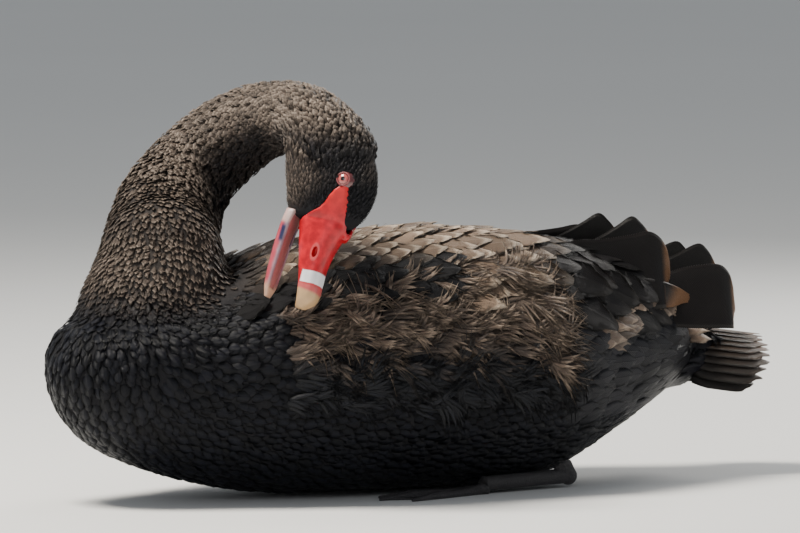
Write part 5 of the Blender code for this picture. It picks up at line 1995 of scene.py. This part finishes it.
    def _lids(self) -> None:
        """A thin rounded lid round each eye."""
        paint = Paint("lid_skin", roughness=0.45, specular=0.4)
        base = paint.mix(paint.noise(900.0), (0.110, 0.022, 0.026), (0.300, 0.075, 0.078))
        paint.feed("Base Color", base)
        paint.bump(paint.noise(2400.0), 0.0002)
        lift = Matrix.Translation((EYE_OPENING + 0.0002, 0.0, 0.0)) @ Matrix.Rotation(math.pi / 2, 4, "X")
        sweep = {"cent": (0, 0, 0), "axis": (0, 0, 1), "angle": math.tau, "steps": 48, "use_merge": True}
        for side in Side:
            bm = bmesh.new()
            ring = bmesh.ops.create_circle(bm, segments=14, radius=self.lid_thickness)["verts"]
            bmesh.ops.transform(bm, matrix=lift, verts=ring)
            bmesh.ops.spin(bm, geom=bm.verts[:] + bm.edges[:], **sweep)
            bmesh.ops.transform(bm, matrix=eye_place(side, EYE_SIDE + LID_HEIGHT), verts=bm.verts)
            bmesh.ops.remove_doubles(bm, verts=bm.verts, dist=MERGE_DISTANCE)
            register(object_from("lid_" + side.word, bm), "head_feathers", paint.material)

    def _lores(self, side: Side) -> bpy.types.Object:
        """Makes one sheet of bare skin from the bill's root up to the eye."""
        right = head_axes()[2] * side.value
        form = BillForm(UPPER_BILL)
        root, reach = UPPER_BILL[0][0], self.lores_length
        bm = bmesh.new()
        bmesh.ops.create_grid(bm, x_segments=44, y_segments=22, size=1.0)
        for vert in bm.verts:
            along, across = (vert.co.x + 1) / 2, (vert.co.y + 1) / 2
            forward = reach * along
            low, high = (float(edge) for edge in lores_edges(forward))
            low, high = low - 0.0008, high + 0.0004
            up = low + (high - low) * across
            hit = self.hide.tree.ray_cast(head_point(forward, up, side.value * 0.05), -right, 0.06)[0]
            rim = min(min(across, 1 - across) * (high - low), forward) / self.lores_rim
            raised = self.lores_raise * min(rim, 1.0) ** 0.5 - self.lores_sink
            skin = (hit - HEAD_ORIGIN).dot(right) + raised if hit else 0.0
            bill = form.side_at(max(forward, root), up) if forward > 0.024 else 0.0
            vert.co = head_point(forward, up, side.value * max(skin if forward < 0.0330 else 0.0, bill))
        if side is Side.LEFT:
            bmesh.ops.reverse_faces(bm, faces=bm.faces[:])
        lores = object_from("lores_" + side.word, bm)
        add_modifier(lores, "SOLIDIFY", thickness=self.lores_thickness, offset=-1.0)
        bake_modifiers(lores)
        return lores


@dataclass(frozen=True)
class Feet:
    """Legs and webbed feet, folded under the body.

    Attributes:
        voxel: Size of the voxels that they are rebuilt from.
        smoothings: Smoothing passes over them.
        scales: Scales to a metre.
    """

    voxel: float = 0.0008
    smoothings: int = 4
    scales: float = 520.0

    def build(self) -> None:
        """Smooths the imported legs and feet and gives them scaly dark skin."""
        paint = Paint("foot_skin", roughness=0.5, specular=0.4)
        inputs = {"Vector": paint.place(), "Scale": self.scales}
        cells = paint.node("ShaderNodeTexVoronoi", {"feature": "DISTANCE_TO_EDGE"}, inputs)
        base = paint.mix(paint.noise(120.0, 4.0), (0.022, 0.021, 0.023), (0.060, 0.056, 0.058))
        paint.feed("Base Color", paint.shade(base, cells.rise(0.0, 0.12) * 0.5 + 0.6))
        paint.bump(cells.rise(0.0, 0.2), 0.0004)
        for side, part in product(Side, ("leg_", "foot_")):
            name = part + side.word
            bm = bmesh.new()
            bm.from_mesh(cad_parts[name].data)
            bmesh.ops.remove_doubles(bm, verts=bm.verts, dist=MERGE_DISTANCE)
            piece = object_from(part + "skin_" + side.word, bm)
            add_modifier(piece, "REMESH", mode="VOXEL", voxel_size=self.voxel)
            add_modifier(piece, "SMOOTH", factor=0.5, iterations=self.smoothings)
            register(bake_modifiers(piece), "foot_skin", paint.material, name)


def dress_skin(hide: Hide) -> None:
    """Finishes the skin in the plumage's colours, with their painted sunlight at half strength, and registers
    it.
    """
    obj = hide.obj
    # The tone holds painted sunlight as well as brownness.
    keep_numbers(obj.data, "tone", tone_and_painted_light_at(hide.points) * 0.5)
    paint = Paint("down", roughness=0.85, specular=0.2)
    base = paint.mix(paint.attribute("tone"), (0.008, 0.008, 0.010), (0.050, 0.040, 0.034))
    paint.feed("Base Color", paint.shade(base, paint.noise(500.0) * 0.8 + 0.5))
    paint.bump(paint.noise(700.0, 4.0), 0.0006)
    register(obj, "black_feathers", paint.material)
    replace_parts(obj, "torso", "neck_base", "neck_middle", "neck_upper", "head", "wing_left", "wing_right")
    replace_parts(obj, "flank_left", "flank_right")


def main() -> None:
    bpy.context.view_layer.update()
    hide = Hide(CoatDepths())
    dress_skin(hide)
    plumage = Plumage(hide)
    plumage.neck()
    plumage.head()
    plumage.body()
    plumage.back()
    long_feathers = LongFeathers(hide)
    long_feathers.blades()
    long_feathers.tail()
    long_feathers.plumes()
    Face(hide).build()
    Feet().build()
    Studio().build()


if __name__ == "__main__":
    logging.basicConfig(level=logging.INFO, format="%(name)s %(message)s")
    main()
